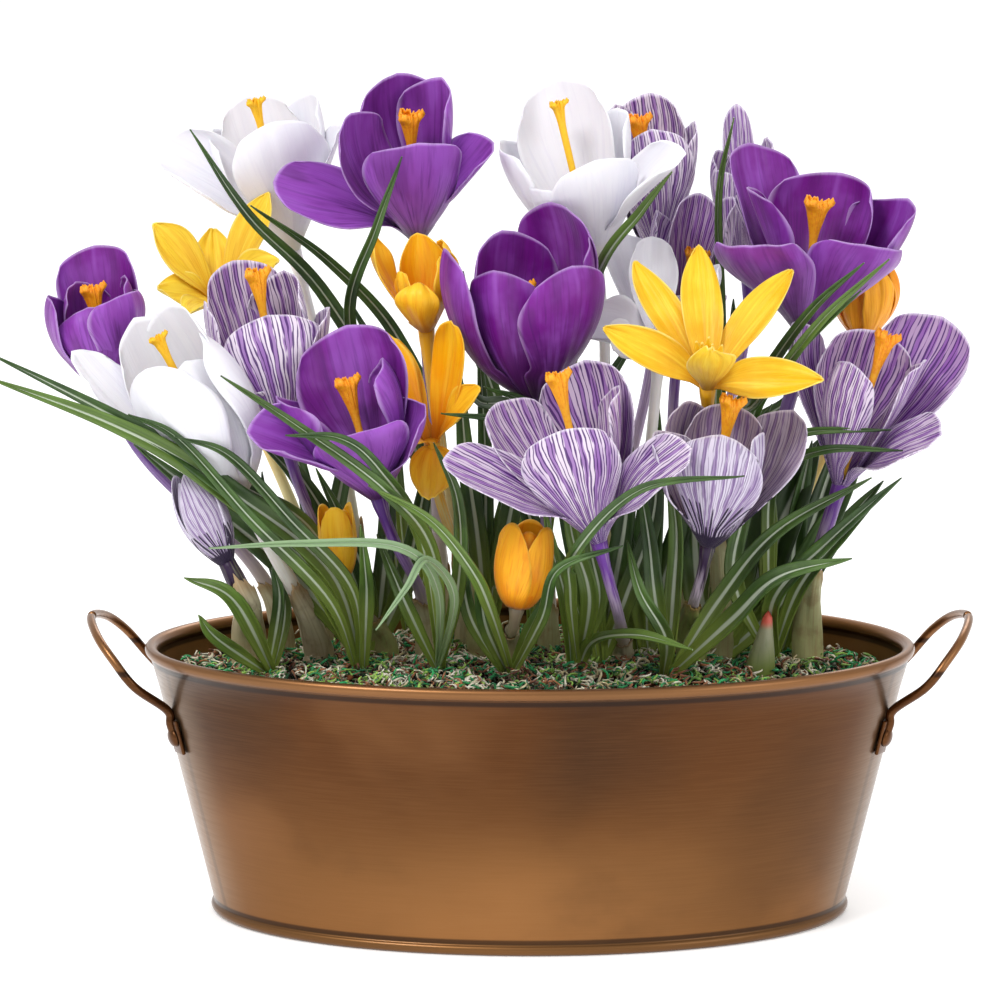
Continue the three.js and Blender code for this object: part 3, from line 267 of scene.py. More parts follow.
# Wider and plainer leaves that stand among the stems, painted dark as painted shade
INNER_LEAVES = [
    dict(name="inner_leaves_middle", foot=(22, 4), leaves=[
        (8, (18, 2, 100), (12, 0, 125), (8, 0, 150)), (7, (26, 4, 100), (30, 4, 126), (31, 6, 152)),
        (6, (30, 0, 100), (38, 0, 124), (40, 2, 150)), (7, (14, 6, 98), (2, 8, 118), (-6, 10, 140)),
        (5, (22, 8, 105), (20, 12, 135), (20, 14, 165)),
        (3.4, (14, -6, 122), (6, -26, 152), (-8, -34, 160), (-27, -38, 163)),
        (3.4, (18, 2, 120), (2, -10, 158), (-14, -18, 168)),
    ]),
    dict(name="inner_leaves_right", foot=(60, 14), leaves=[
        (12, (63, 12, 100), (69, 12, 126), (74, 14, 150)),
        (13, (71, 16, 100), (82, 18, 126), (91, 20, 146)), (9, (53, 12, 100), (51, 12, 125), (50, 12, 150)),
        (8, (79, 10, 96), (92, 6, 120), (102, 0, 140)), (9, (66, 20, 110), (66, 24, 140), (70, 26, 160)),
        (8, (60, 16, 105), (60, 16, 132), (62, 18, 158)),
    ]),
    dict(name="inner_leaves_left", foot=(-50, 10), leaves=[
        (6, (-54, 8, 100), (-64, 4, 125), (-78, 0, 148)), (6, (-46, 10, 100), (-44, 8, 126), (-46, 6, 150)),
        (6, (-40, 8, 100), (-34, 4, 126), (-30, 0, 148)), (5, (-58, 6, 96), (-74, 0, 116), (-92, -6, 132)),
        (5, (-50, 6, 98), (-56, 2, 118), (-66, -2, 140)),
        (7, (-72, -6, 106), (-96, -14, 129), (-121, -16, 150)),
    ]),
    dict(name="inner_leaves_back", foot=(-14, 30), leaves=[
        (6, (-16, 28, 110), (-20, 26, 140), (-22, 24, 168)),
        (6, (-8, 28, 110), (-2, 26, 140), (4, 22, 165)),
        (5, (-14, 30, 105), (-14, 34, 140), (-16, 36, 175)),
        (5, (-20, 30, 110), (-32, 30, 140), (-40, 28, 165)),
        (5, (-10, 30, 110), (-2, 36, 140), (8, 38, 170)),
    ]),
    dict(name="inner_leaves_far_left", foot=(-66, 34), leaves=[
        (5, (-68, 32, 110), (-74, 30, 140), (-84, 24, 168)),
        (5, (-62, 34, 115), (-56, 34, 145), (-50, 30, 175)),
        (5, (-66, 30, 105), (-72, 22, 130), (-88, 14, 150)),
    ]),
    dict(name="inner_leaves_centre_right", foot=(36, 14), leaves=[
        (9, (36, 14, 100), (38, 14, 128), (40, 15, 158)), (8, (42, 14, 100), (50, 13, 126), (56, 12, 150)),
        (7, (32, 14, 98), (28, 15, 124), (25, 16, 150)), (7, (44, 18, 104), (60, 20, 130), (76, 24, 156)),
    ]),
    dict(name="inner_leaves_far_right", foot=(80, 24), leaves=[
        (8, (84, 24, 100), (92, 26, 126), (101, 30, 152)), (7, (82, 20, 98), (84, 18, 122), (88, 14, 146)),
        (6, (86, 20, 98), (98, 16, 118), (110, 10, 134)),
    ]),
]
# Sheaths that stand out: how far up the stem, how loose, and how green
SHEATHS = dict(
    white_left=(0.62, 0.9, 0.0), striped_front_right=(0.58, 1.5, 0.9), striped_right=(0.6, 1.1, 0.55),
    striped_bud=(0.93, 1.0, 0.1), yellow_bud=(0.6, 0.3, 0.3), yellow_small_bud=(0.5, 1.4, 0.8),
    yellow_open=(0.45, 0.6, 0.6), yellow_star=(0.5, 0.8, 0.5), striped_front=(0.3, 0.5, 0.1),
    purple_front_left=(0.4, 0.9, 0.2),
)
PALE_LEAVES = (("leaves_mid_left", 2), ("leaves_mid_left", 3))

SHOOT = dict(foot=(69.5, -8), tip=(73.6, -8, 96.4), radius=4.4)


# ---- Making pieces ---------------------------------------------------------

def only(*pieces):
    """Leaves just these pieces selected, the first one active."""
    bpy.ops.object.select_all(action='DESELECT')
    for piece in pieces:
        piece.select_set(True)
    bpy.context.view_layer.objects.active = pieces[0]


def add(primitive, **settings):
    """A new primitive, alone in the selection."""
    bpy.ops.object.select_all(action='DESELECT')
    primitive(**settings)
    return bpy.context.object


def edit(piece, action='SELECT'):
    """Opens a piece in edit mode, with all of it selected or none."""
    only(piece)
    bpy.ops.object.mode_set(mode='EDIT')
    bpy.ops.mesh.select_all(action=action)


def leave_edit():
    bpy.ops.object.mode_set(mode='OBJECT')


def smooth(t, low, high):
    t = min(1, max(0, (t - low) / (high - low)))
    return t * t * (3 - 2 * t)


def mix(a, b, t):
    return a + (b - a) * t


def named(piece, name):
    piece.name = piece.data.name = name
    return piece


def grid_piece(name, grid, shape):
    """A grid whose points go where shape(across from -1 to 1, along from 0 to 1) says, in mm."""
    columns, rows = GRID[grid]
    piece = named(add(bpy.ops.mesh.primitive_grid_add, x_subdivisions=columns, y_subdivisions=rows, size=2),
                  name)
    for point in piece.data.vertices:
        point.co = shape(point.co.x, (point.co.y + 1) / 2) * MM
    return piece


def beside(centre, t, turn, size):
    """The point at a turn and a distance from a route; centre(t) gives the route's point and direction."""
    spot, direction = centre(t)
    side = Vector((0, 1, 0)).cross(direction).normalized()
    front = direction.cross(side)
    return spot + (side * math.cos(turn) + front * math.sin(turn)) * size


def tube_piece(name, grid, centre, radius):
    """A closed tube along a route, with radius(turn, along) round it."""
    def shape(across, along):
        turn = math.pi * (across + 1)
        return beside(centre, along, turn, radius(turn, along))
    piece = grid_piece(name, grid, shape)
    weld(piece)
    return piece


def weld(piece, closed=True):
    """Welds a rolled grid along its seam, closes its ends if asked, and turns its faces outward."""
    edit(piece)
    bpy.ops.mesh.remove_doubles(threshold=WELD)
    if closed:
        bpy.ops.mesh.select_all(action='DESELECT')
        bpy.ops.mesh.select_non_manifold(extend=False, use_wire=False, use_multi_face=False,
                                         use_non_contiguous=False, use_verts=False)
        bpy.ops.mesh.edge_face_add()
        bpy.ops.mesh.select_all(action='SELECT')
    bpy.ops.mesh.normals_make_consistent(inside=False)
    leave_edit()


def modify(piece, kind, **settings):
    """Adds a modifier and applies it."""
    only(piece)
    modifier = piece.modifiers.new(kind.lower(), kind)
    for key, value in settings.items():
        setattr(modifier, key, value)
    bpy.ops.object.modifier_apply(modifier=modifier.name)


def thicken(piece, thickness):
    """Gives a sheet its thickness, half to each side."""
    modify(piece, 'SOLIDIFY', thickness=thickness * MM, offset=0)


def gathered(name, parts):
    """Joins parts into one piece."""
    only(*parts)
    if len(parts) > 1:
        bpy.ops.object.join()
    return named(bpy.context.object, name)


def tint(piece, values):
    """A number for each point of a part, or one for the whole part, which its material reads."""
    if not isinstance(values, list):
        values = [values] * len(piece.data.vertices)
    piece.data.attributes.new("tint", 'FLOAT', 'POINT').data.foreach_set('value', values)


def finish_piece(piece, material, slot, *nodes, rounded=True):
    """Smooth shading, material, a slot, which is not used, and the nodes that the piece stands for."""
    only(piece)
    if rounded:
        bpy.ops.object.shade_smooth()
    else:
        bpy.ops.object.shade_smooth_by_angle(angle=SOFT_CORNER)
    piece.data.materials.clear()
    piece.data.materials.append(material)
    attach(piece, "root")
    if nodes:
        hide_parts(*nodes)


# ---- Materials ---------------------------------------------------------------

def rgb(code):
    """A linear colour from a hex code."""
    def linear(v):
        return v / 12.92 if v <= 0.04045 else ((v + 0.055) / 1.055) ** 2.4
    return tuple(linear(int(code[i:i + 2], 16) / 255) for i in (0, 2, 4)) + (1.0,)


def soft_inside(weight, radius, scale):
    """Settings for light that spreads a little inside a thin or waxy part."""
    return dict(Subsurface_Weight=weight, Subsurface_Radius=radius, Subsurface_Scale=scale)


class Value:
    """A node's output, which adds up, multiplies and eases like a number."""

    def __init__(self, recipe, socket):
        self.recipe, self.socket = recipe, socket

    def __add__(self, other):
        return self.recipe.math('ADD', self, other)

    def __sub__(self, other):
        return self.recipe.math('SUBTRACT', self, other)

    def __rsub__(self, other):
        return self.recipe.math('SUBTRACT', other, self)

    def __mul__(self, other):
        return self.recipe.math('MULTIPLY', self, other)

    def __truediv__(self, other):
        return self.recipe.math('DIVIDE', self, other)

    def __abs__(self):
        return self.recipe.math('ABSOLUTE', self)

    __radd__ = __add__

    def ease(self, low, high, start=0.0, end=1.0):
        """Goes softly from start to end while the value goes from low to high."""
        return self.recipe.node('ShaderNodeMapRange', {'Value': self, 'From Min': low, 'From Max': high,
                                                       'To Min': start, 'To Max': end},
                                interpolation_type='SMOOTHSTEP')


class Recipe:
    """A material whose nodes are added one at a time, and whose colours are laid over one another."""

    def __init__(self, name, **settings):
        self.material = bpy.data.materials.new(name)
        self.material.use_nodes = True
        self.tree = self.material.node_tree
        self.shader = self.tree.nodes['Principled BSDF']
        for socket, value in settings.items():
            self.shader.inputs[socket.replace('_', ' ')].default_value = value
        self.coordinates = self.tree.nodes.new('ShaderNodeTexCoord')
        self.body = None

    def node(self, kind, inputs, output=0, **settings):
        node = self.tree.nodes.new(kind)
        for key, value in settings.items():
            setattr(node, key, value)
        for key, value in inputs.items():
            self.feed(node.inputs[key], value)
        return Value(self, node.outputs[output])

    def feed(self, socket, value):
        """Sets a socket from a node's output, a hex colour or a plain value."""
        if isinstance(value, Value):
            self.tree.links.new(value.socket, socket)
        else:
            socket.default_value = rgb(value) if isinstance(value, str) else value

    def set(self, socket, value):
        self.feed(self.shader.inputs[socket], value)

    def split(self, source):
        parts = self.tree.nodes.new('ShaderNodeSeparateXYZ')
        self.tree.links.new(self.coordinates.outputs[source], parts.inputs[0])
        return [Value(self, part) for part in parts.outputs]

    def vector(self, x, y, z=0.0):
        return self.node('ShaderNodeCombineXYZ', {'X': x, 'Y': y, 'Z': z})

    def noise(self, where, scale=1.0, detail=4.0, roughness=0.55, distortion=0.0):
        return self.node('ShaderNodeTexNoise', {'Vector': where, 'Scale': scale, 'Detail': detail,
                                                'Roughness': roughness, 'Distortion': distortion})

    def grain(self, scale, stretch=(1, 1, 1), **more):
        """Noise in the piece's own space."""
        place = Value(self, self.coordinates.outputs['Object'])
        return self.noise(self.node('ShaderNodeMapping', {'Vector': place, 'Scale': stretch}), scale, **more)

    def math(self, operation, a, b=0.0, clamp=False):
        return self.node('ShaderNodeMath', {0: a, 1: b}, operation=operation, use_clamp=clamp)

    def tint(self):
        return self.node('ShaderNodeAttribute', {}, output='Fac', attribute_name="tint")

    def blend(self, share, a, b):
        return self.node('ShaderNodeMix', {0: share, 6: a, 7: b}, output=2, data_type='RGBA')

    def ground(self, share, a, b):
        """The first layer, from one colour to another."""
        self.body = self.blend(share, a, b)

    def paint(self, share, color):
        """Lays a share of a colour over what is there so far."""
        self.body = self.blend(share, self.body, color)

    def finish(self, height, strength, distance):
        """Sets the painted colour and the relief."""
        self.set('Base Color', self.body)
        self.set('Normal', self.node('ShaderNodeBump', {'Height': height, 'Strength': strength,
                                                        'Distance': distance * MM}))
        return self.material


def across_and_along(recipe):
    """A blade's own directions: across it, also as 0 at the midrib to 1 at both edges, and along it."""
    u, v, _ = recipe.split('UV')
    return u, abs((u - 0.5) * 2.0), v


def fanned(recipe, u, v, spread, count, stretch, wander=0.0):
    """Directions for lines that start near the midrib at the foot of a blade and fan out to its edges."""
    sideways = (u - 0.5) / (1.0 - spread + v * spread)
    if wander:
        drift = recipe.noise(recipe.vector(u * 3.5, v * 2.6, recipe.tint() * 31.0), detail=2.0)
        sideways += drift * wander
    return recipe.vector(sideways * count, v * stretch, recipe.tint() * 9.0)


def fine_lines(recipe, u, v, count, spread=0.5):
    """Fine soft lines that fan out from the foot of a blade towards its edges."""
    return recipe.noise(fanned(recipe, u, v, spread, count, 2.2), detail=3.0, roughness=0.6, distortion=0.25)


def broad_bands(recipe, u, v, count, stretch, spread=0.6, detail=2.0):
    return recipe.noise(fanned(recipe, u, v, spread, count, stretch), detail=detail)


def streaks_along(recipe, across, along):
    """Streaks that run along a rolled tube or sheath, and its own direction along."""
    u, v, _ = recipe.split('UV')
    return recipe.noise(recipe.vector(u * across, v * along)), v


def drawn_veins(recipe, u, v, lines, thickness, phase):
    """Sharp branching veins, thicker near the foot, as a share from 0 to 1."""
    wave = recipe.node('ShaderNodeTexWave', {
        'Vector': fanned(recipe, u, v, 0.62, 1.0, 0.3, 0.1), 'Scale': lines / 3.18, 'Distortion': 5.0,
        'Detail': 2.0, 'Detail Scale': 1.1, 'Detail Roughness': 0.65, 'Phase Offset': phase}, output=1)
    breaks = broad_bands(recipe, u, v, 20.0, 5.0, spread=0.55)
    level = v.ease(0.1, 1.0, 0.66 - thickness, 0.8 - thickness) + breaks.ease(0.3, 0.7, 0.28, -0.2)
    return (wave - level).ease(-0.06, 0.12)


def petal_recipe(name):
    return Recipe(name, Roughness=0.42, Sheen_Weight=0.06, Sheen_Roughness=0.4, Specular_IOR_Level=0.3,
                  **soft_inside(0.1, (0.6, 0.4, 0.5), 0.0012))


def pale_rim_and_highlight(recipe, from_rib, v):
    """Share of a petal that is its thin, paler edge, partly painted highlight: both sides and the tip."""
    return recipe.math('MAXIMUM', from_rib.ease(0.91, 1.0) * v.ease(0.15, 0.5), v.ease(0.975, 1.0))


def silky_petal(name, deep, main, pale, edge, throat, veins, vein_color, vein_share):
    """A petal: deep to pale along its length and darkest at its throat, partly its own colour and partly
    painted shade, with a pale edge partly painted as a highlight, paler where its tint is high as painted
    light, and soft veins.
    """
    recipe = petal_recipe(name)
    u, from_rib, v = across_and_along(recipe)
    lines = fine_lines(recipe, u, v, veins)
    broad = broad_bands(recipe, u, v, 5.0, 1.6)
    # Painted shade in part: the petal is painted deeper toward its foot, inside the cup
    recipe.ground(v.ease(0.1, 0.8), deep, main)
    # Painted light: paler where the tint is high, on petals toward the front
    recipe.paint(recipe.tint() * 0.8, pale)
    recipe.paint(recipe.grain(70.0, detail=3.0).ease(0.4, 0.7, 0.0, 0.35), pale)
    recipe.paint(broad.ease(0.5, 0.68, 0.0, 0.45), pale)
    recipe.paint(broad.ease(0.5, 0.34, 0.0, 0.4), deep)
    # A pale edge: partly its own colour, partly a painted highlight
    recipe.paint(pale_rim_and_highlight(recipe, from_rib, v) * 0.45, edge)
    recipe.paint(lines.ease(0.5, 0.66) * v.ease(1.0, 0.25, 0.35, 1.0) * vein_share, vein_color)
    # Darkest at the throat: partly the throat's own colour, partly painted shade deep in the cup
    recipe.paint(v.ease(0.24, 0.02, 0.0, 0.9), throat)
    recipe.set('Roughness', lines.ease(0.3, 0.7, 0.34, 0.52))
    return recipe.finish(lines, 0.5, 0.25)


def veined_petal(name, ground, shade, band, vein, vein_share, broadness, flame, flame_top, lines):
    """A pale lilac petal with fine violet veins, broader violet bands and a dark flame at its foot."""
    recipe = petal_recipe(name)
    u, from_rib, v = across_and_along(recipe)
    veins = drawn_veins(recipe, u, v, lines, 0.08, 0.0)
    main_veins = drawn_veins(recipe, u, v, lines * 0.3, broadness, 1.7)
    # Painted shade: the ground goes to the shade colour where the tint is high, on petals at the back
    recipe.ground(recipe.tint(), ground, shade)
    recipe.paint(broad_bands(recipe, u, v, 7.0, 0.7).ease(0.5, 0.66) * v.ease(0.95, 0.6, 0.15, 0.55), band)
    recipe.paint(main_veins * from_rib.ease(1.0, 0.7, 0.2, 1.0) * 0.75, band)
    recipe.paint(veins * vein_share, vein)
    # A pale edge: partly its own colour, partly a painted highlight
    recipe.paint(pale_rim_and_highlight(recipe, from_rib, v) * 0.5, "f2ecf8")
    fingers = broad_bands(recipe, u, v, 10.0, 0.4, spread=0.75, detail=1.0)
    tongues = v + fingers.ease(0.42, 0.62, 0.2, -0.1)
    recipe.paint(tongues.ease(flame_top, flame_top - 0.025, 0.0, 0.97), flame)
    return recipe.finish(fine_lines(recipe, u, v, 30) + veins, 0.4, 0.2)


PETAL = dict(
    purple=silky_petal("silky_violet_petal", "4c0a5a", "731286", "9c58c0", "cfb4e6", "2c0636",
                       30, "44085a", 0.6),
    white=silky_petal("white_petal", "e4e3e9", "ecebf0", "e4e3eb", "f8f8fb", "cfc9b4",
                      22, "d8d6e4", 0.45),
    striped=veined_petal("veined_lilac_petal", "dfd3e1", "a98ab2", "8040a0", "421662", 0.9, 0.24,
                         "43176a", 0.16, 23),
    dark=veined_petal("dark_throated_petal", "cdc6d8", "94788e", "7e5f94", "432260", 0.52, 0.08,
                      "18042a", 0.36, 26),
    amber=silky_petal("amber_petal", "e67800", "f39200", "fab822", "fdd04e", "b46400",
                      20, "d47200", 0.55),
    golden=silky_petal("golden_petal", "ed8e00", "f7b004", "fdce30", "ffdc60", "c07400",
                       20, "de8400", 0.5),
    lemon=silky_petal("lemon_gold_petal", "dea20a", "ebbc16", "f7dd4a", "fbeb96", "be8600",
                      20, "d0980a", 0.5),
)


def tube_material(name, foot, middle, top):
    """A flower's tube: papery and pale at the foot, its own colour at the throat, streaked along."""
    recipe = Recipe(name, Roughness=0.45, Specular_IOR_Level=0.35,
                    **soft_inside(0.1, (0.6, 0.4, 0.5), 0.001))
    streaks, v = streaks_along(recipe, 16.0, 3.0)
    recipe.ground(v.ease(0.2, 0.6), foot, middle)
    recipe.paint((v + streaks.ease(0.35, 0.65, -0.12, 0.12)).ease(0.56, 0.86), top)
    recipe.paint(streaks.ease(0.5, 0.7, 0.0, 0.3), foot)
    return recipe.finish(streaks, 0.4, 0.3)


TUBE = dict(
    purple=tube_material("violet_tube", "d9cfc0", "8f72a8", "45146a"),
    white=tube_material("white_tube", "d8cbae", "ece6dc", "f6f4f6"),
    striped=tube_material("lilac_tube", "ddd2c2", "c3b0cc", "62308c"),
    yellow=tube_material("golden_tube", "d9d2a4", "dccb8e", "eaab14"),
    papery=tube_material("papery_tube", "9c8f72", "887b62", "6f6350"),
    dark=tube_material("dark_tube", "b8c08a", "cfc0d2", "22052f"),
)


def sheath_material():
    """The dry papery sheath round a flower's foot; its tint is how green it is."""
    recipe = Recipe("papery_sheath", Roughness=0.6, **soft_inside(0.2, (0.8, 0.6, 0.4), 0.002))
    ribs, v = streaks_along(recipe, 22.0, 2.0)
    recipe.ground(v.ease(0.1, 0.9), "b9a785", "d9cdb2")
    recipe.paint(recipe.tint(), "8d9c52")
    recipe.paint(ribs.ease(0.45, 0.7, 0.0, 0.6), "9a815a")
    recipe.paint(recipe.grain(160.0, detail=3.0).ease(0.5, 0.75, 0.0, 0.5), "7d5f3e")
    recipe.paint(v.ease(0.8, 1.0, 0.0, 0.7), "8f6a3c")
    return recipe.finish(ribs, 0.6, 0.4)


def style_material():
    """The orange style: paler down its stalk, deep at its frilled end; its tint is how yellow it is."""
    recipe = Recipe("orange_style", Roughness=0.5, **soft_inside(0.15, (0.8, 0.4, 0.1), 0.001))
    grain = recipe.grain(900.0, detail=3.0)
    recipe.ground(recipe.split('UV')[1].ease(0.0, 0.7), "fbc23a", "f99f06")
    recipe.paint(grain.ease(0.4, 0.7, 0.0, 0.6), "ea7200")
    recipe.paint(recipe.tint() * 0.8, "f8c417")
    return recipe.finish(grain, 0.5, 0.3)


def leaf_material():
    """A narrow leaf: dark green, a silvery line along the middle, pale at the foot.

    Its tint is below 0 for an inner leaf painted dark as painted shade, 0 to 1 for a fresher green, above 1
    for a pale leaf."""
    recipe = Recipe("striped_leaf", Roughness=0.4, Specular_IOR_Level=0.45,
                    **soft_inside(0.05, (0.3, 0.6, 0.2), 0.001))
    u, from_rib, v = across_and_along(recipe)
    lines = fine_lines(recipe, u, v, 14, spread=0.2)
    shade = recipe.tint()
    recipe.ground(recipe.grain(60.0).ease(0.35, 0.7), "2a431d", "4a6a2b")
    recipe.paint(shade.ease(0.35, 1.0, 0.0, 0.55), "76923c")
    # Painted shade: inner leaves, with a tint below 0, are painted nearly black
    recipe.paint(shade.ease(-0.05, -0.4, 0.0, 0.45), "10190c")
    recipe.paint(lines.ease(0.4, 0.7, 0.0, 0.4), "16310f")
    recipe.paint(v.ease(0.5, 0.02, 0.0, 0.85), "93a648")
    recipe.paint(shade.ease(1.0, 1.1, 0.0, 0.5), "9db898")
    recipe.paint(from_rib.ease(0.26, 0.12, 0.0, 0.8), "c6d0bc")
    return recipe.finish(lines, 0.4, 0.2)


def paint_wall(recipe, x, y, z, clouds):
    """A painted pale reflection and a lap seam on the ends outside, a lighter sheet inside; gives the
    inside's share.
    """
    taper = TUB['base_scale'] + z * ((1 - TUB['base_scale']) / (TUB['height'] * MM))
    endward, sideward = (part / (taper * (TUB[way] / 2 * MM) - TUB['rim_bead'] / 2 * MM)
                         for part, way in ((x, 'length'), (y, 'depth')))
    oval_square = endward * endward + sideward * sideward
    on_wall = z.ease(0.0812, 0.0804) * z.ease(0.0034, 0.0042)
    outside = on_wall * oval_square.ease(0.9995, 1.0005)
    inside = on_wall * oval_square.ease(1.0005, 0.9995)
    to_end = abs(endward)
    # Painted reflection: the outside is painted paler toward each end, where the metal would mirror the
    # bright room
    recipe.paint(outside * to_end.ease(0.86, 1.0, 0.0, 0.4), "9a8163")
    recipe.paint(outside * abs(to_end - 0.955).ease(0.008, 0.003, 0.0, 0.3), "2c1d10")
    recipe.paint(inside, recipe.blend(clouds, "8a6036", "a97844"))
    return inside


def copper_material(name, shine, patina, plain=False):
    """Antiqued copper: finely brushed, clouded with a brown patina, painted darker toward the top as shade,
    with painted dark reflections and a painted highlight, brighter on its rim bead and darker on its base
    bead.
    """
    recipe = Recipe(name, Specular_IOR_Level=0.5, Coat_Weight=0.55, Coat_Roughness=0.14, Coat_IOR=1.24)
    x, y, z = recipe.split('Object')
    brushed = recipe.grain(3200.0, (0.02, 0.02, 1), detail=2.0)
    clouds = recipe.grain(11.0, (1, 1, 1.3), detail=3.0, roughness=0.45, distortion=0.3)
    spots = recipe.grain(45.0, (0.7, 1, 1))
    # Painted shade: the wall is painted darker toward the top, under the rim, and lighter toward the bottom
    recipe.ground(z.ease(0.068, 0.002), "55300e", "80552b")
    recipe.paint(clouds.ease(0.44, 0.7, 0.0, patina), "4b2d10")
    recipe.paint(clouds.ease(0.44, 0.26, 0.0, 0.4), "8c5f38")
    # Painted highlight: a soft pool of light low in the middle of the wall
    recipe.paint(abs(x).ease(0.095, 0.0) * z.ease(0.046, 0.008, 0.0, 0.55), "ad7844")
    recipe.paint(spots.ease(0.5, 0.78, 0.0, 0.22), "4a2e16")
    # Painted dark reflections: two dark upright bands on the upper wall, mixed with blotches of patina
    dark_reflection_and_patina = abs(abs(x + 0.036) - 0.058).ease(0.036, 0.004) + clouds.ease(0.3, 0.7, -0.5, 0.3)
    recipe.paint(recipe.math('MULTIPLY', dark_reflection_and_patina, z.ease(0.036, 0.066), clamp=True) * patina, "39220e")
    recipe.paint(brushed.ease(0.4, 0.62, 0.0, 0.035), "a87c52")
    metal = 0.9 if plain else 0.9 - paint_wall(recipe, x, y, z, clouds) * 0.7
    # The rim bead is painted lighter: partly its own brighter copper, partly a painted highlight
    recipe.paint(z.ease(0.0805, 0.082, 0.0, 0.45), "a4754a")
    recipe.paint(z.ease(0.0044, 0.0032, 0.0, 0.6), "5c4022")
    grooves = [abs(z - level).ease(0.0012, 0.0004) for level in (RIM_GROOVE, BASE_GROOVE)]
    recipe.paint(recipe.math('MAXIMUM', *grooves) * 0.8, "24140a")
    recipe.set('Metallic', metal)
    recipe.set('Roughness', brushed.ease(0.35, 0.65, shine + 0.05, shine - 0.03))
    return recipe.finish(brushed, 0.05, 0.03)


def soil_material():
    recipe = Recipe("damp_compost", Roughness=0.9, Specular_IOR_Level=0.2)
    grains = recipe.grain(420.0, detail=6.0, roughness=0.7)
    recipe.ground(grains.ease(0.35, 0.7), "0e0a07", "2c1d13")
    recipe.paint(recipe.grain(70.0, detail=3.0).ease(0.5, 0.7, 0.0, 0.5), "4e2c1a")
    return recipe.finish(grains, 0.9, 1.2)


def moss_material(name, dark, light):
    """Strands painted darker toward their root and near black where they lie low, as painted shade among
    them; their tint is how high they lie.
    """
    recipe = Recipe(name, Roughness=0.7, Specular_IOR_Level=0.3, Sheen_Weight=0.2)
    patches = recipe.grain(130.0)
    recipe.ground(patches.ease(0.32, 0.62), dark, light)
    # Painted shade: darker toward each strand's root and near black on the curls that lie lowest
    recipe.paint(recipe.split('UV')[1].ease(0.3, 0.0, 0.0, 0.6), "14150c")
    recipe.paint(recipe.tint().ease(0.42, 0.05, 0.0, 0.85), "0c0b07")
    return recipe.finish(patches, 0.3, 0.3)


def bark_material():
    recipe = Recipe("bark_chip", Roughness=0.85, Specular_IOR_Level=0.2)
    grain = recipe.grain(500.0, (1, 0.25, 1), detail=5.0, roughness=0.7)
    recipe.ground(grain.ease(0.35, 0.7), "2e160d", "7a4528")
    return recipe.finish(grain, 0.8, 0.8)


def shoot_material():
    """Green at its foot, cream above, with a coral tip."""
    recipe = Recipe("young_shoot", Roughness=0.4, **soft_inside(0.2, (0.8, 0.7, 0.4), 0.0015))
    z = recipe.split('Object')[2]
    lines = recipe.grain(900.0, (1, 1, 0.08))
    recipe.ground(z.ease(0.077, 0.089), "74863a", "a2a384")
    recipe.paint(lines.ease(0.5, 0.7, 0.0, 0.5), "6f7f48")
    recipe.paint(z.ease(0.0905, 0.0935), "d8604e")
    return recipe.finish(lines, 0.3, 0.2)


def floor_material():
    recipe = Recipe("pale_floor", Roughness=0.8, Specular_IOR_Level=0.2, Emission_Color=(1, 1, 1, 1),
                    Emission_Strength=0.2)
    recipe.set('Base Color', recipe.blend(recipe.grain(3.0, detail=2.0), "fbfbfb", "ffffff"))
    return recipe.material


# ---- The tub -----------------------------------------------------------------

def oval(height, outward=0.0):
    """Half length and half depth of the tub's oval at a height, moved outward, in mm."""
    scale = mix(TUB['base_scale'], 1, height / TUB['height'])
    return tuple((scale * TUB[way] - TUB['rim_bead']) / 2 + outward for way in ('length', 'depth'))


def oval_point(turn, height, outward=0.0):
    a, b = oval(height)
    normal = Vector((math.cos(turn) / a, math.sin(turn) / b)).normalized()
    return Vector((a * math.cos(turn) + normal.x * outward,
                   b * math.sin(turn) + normal.y * outward, height))


def ring_up(name, section, sides):
    """An oval ring drawn out into a wall, one extruded step for each [outward, height] of a section."""
    ring = add(bpy.ops.mesh.primitive_circle_add, vertices=sides, radius=1)
    edit(ring)
    size = (1, 1)
    height = 0
    for step, (outward, up) in enumerate(section):
        if step:
            bpy.ops.mesh.extrude_edges_move()
        new_size = [half * MM for half in oval(up, outward)]
        bpy.ops.transform.resize(value=(new_size[0] / size[0], new_size[1] / size[1], 1),
                                 center_override=(0, 0, 0))
        bpy.ops.transform.translate(value=(0, 0, (up - height) * MM))
        size, height = new_size, up
    leave_edit()
    return named(ring, name)


def arc(centre_out, centre_up, radius, start, end, count):
    turns = [math.radians(mix(start, end, i / (count - 1))) for i in range(count)]
    return [(centre_out + radius * math.cos(turn), centre_up + radius * math.sin(turn)) for turn in turns]


def build_wall(copper):
    """The tapering wall with its base seam and rolled rim."""
    half = TUB['sheet'] / 2
    foot, rim = TUB['base_bead'] / 2, TUB['rim_bead'] / 2
    section = [(-half, 0), *arc(0.2, foot, foot, -90, 75, 12), (half, 2 * foot + 0.6),
               *[(half, h) for h in (12, 24, 36, 48, 60, 72)],
               *arc(0, TUB['height'] - rim, rim, -65, 245, 22),
               *[(-half, h) for h in (72, 48, 24)]]
    wall = ring_up("tub_wall_fine", section, TUB['sides'])
    edit(wall, 'DESELECT')
    bpy.ops.mesh.select_non_manifold(extend=False)
    bpy.ops.mesh.bridge_edge_loops()
    bpy.ops.mesh.select_all(action='SELECT')
    bpy.ops.mesh.normals_make_consistent(inside=False)
    leave_edit()
    finish_piece(wall, copper, "copper", "tub_wall")


def build_floor(copper):
    """The flat floor inside the base seam, with a small chamfer."""
    inset, chamfer = TUB['sheet'] / 2 + GAP, 0.2
    plate = ring_up("tub_floor_fine", [(-inset - chamfer, 0), (-inset, chamfer),
                                       (-inset, TUB['floor'] - chamfer), (-inset - chamfer, TUB['floor'])],
                    TUB['sides'])
    weld(plate)
    finish_piece(plate, copper, "copper", "tub_floor", rounded=False)


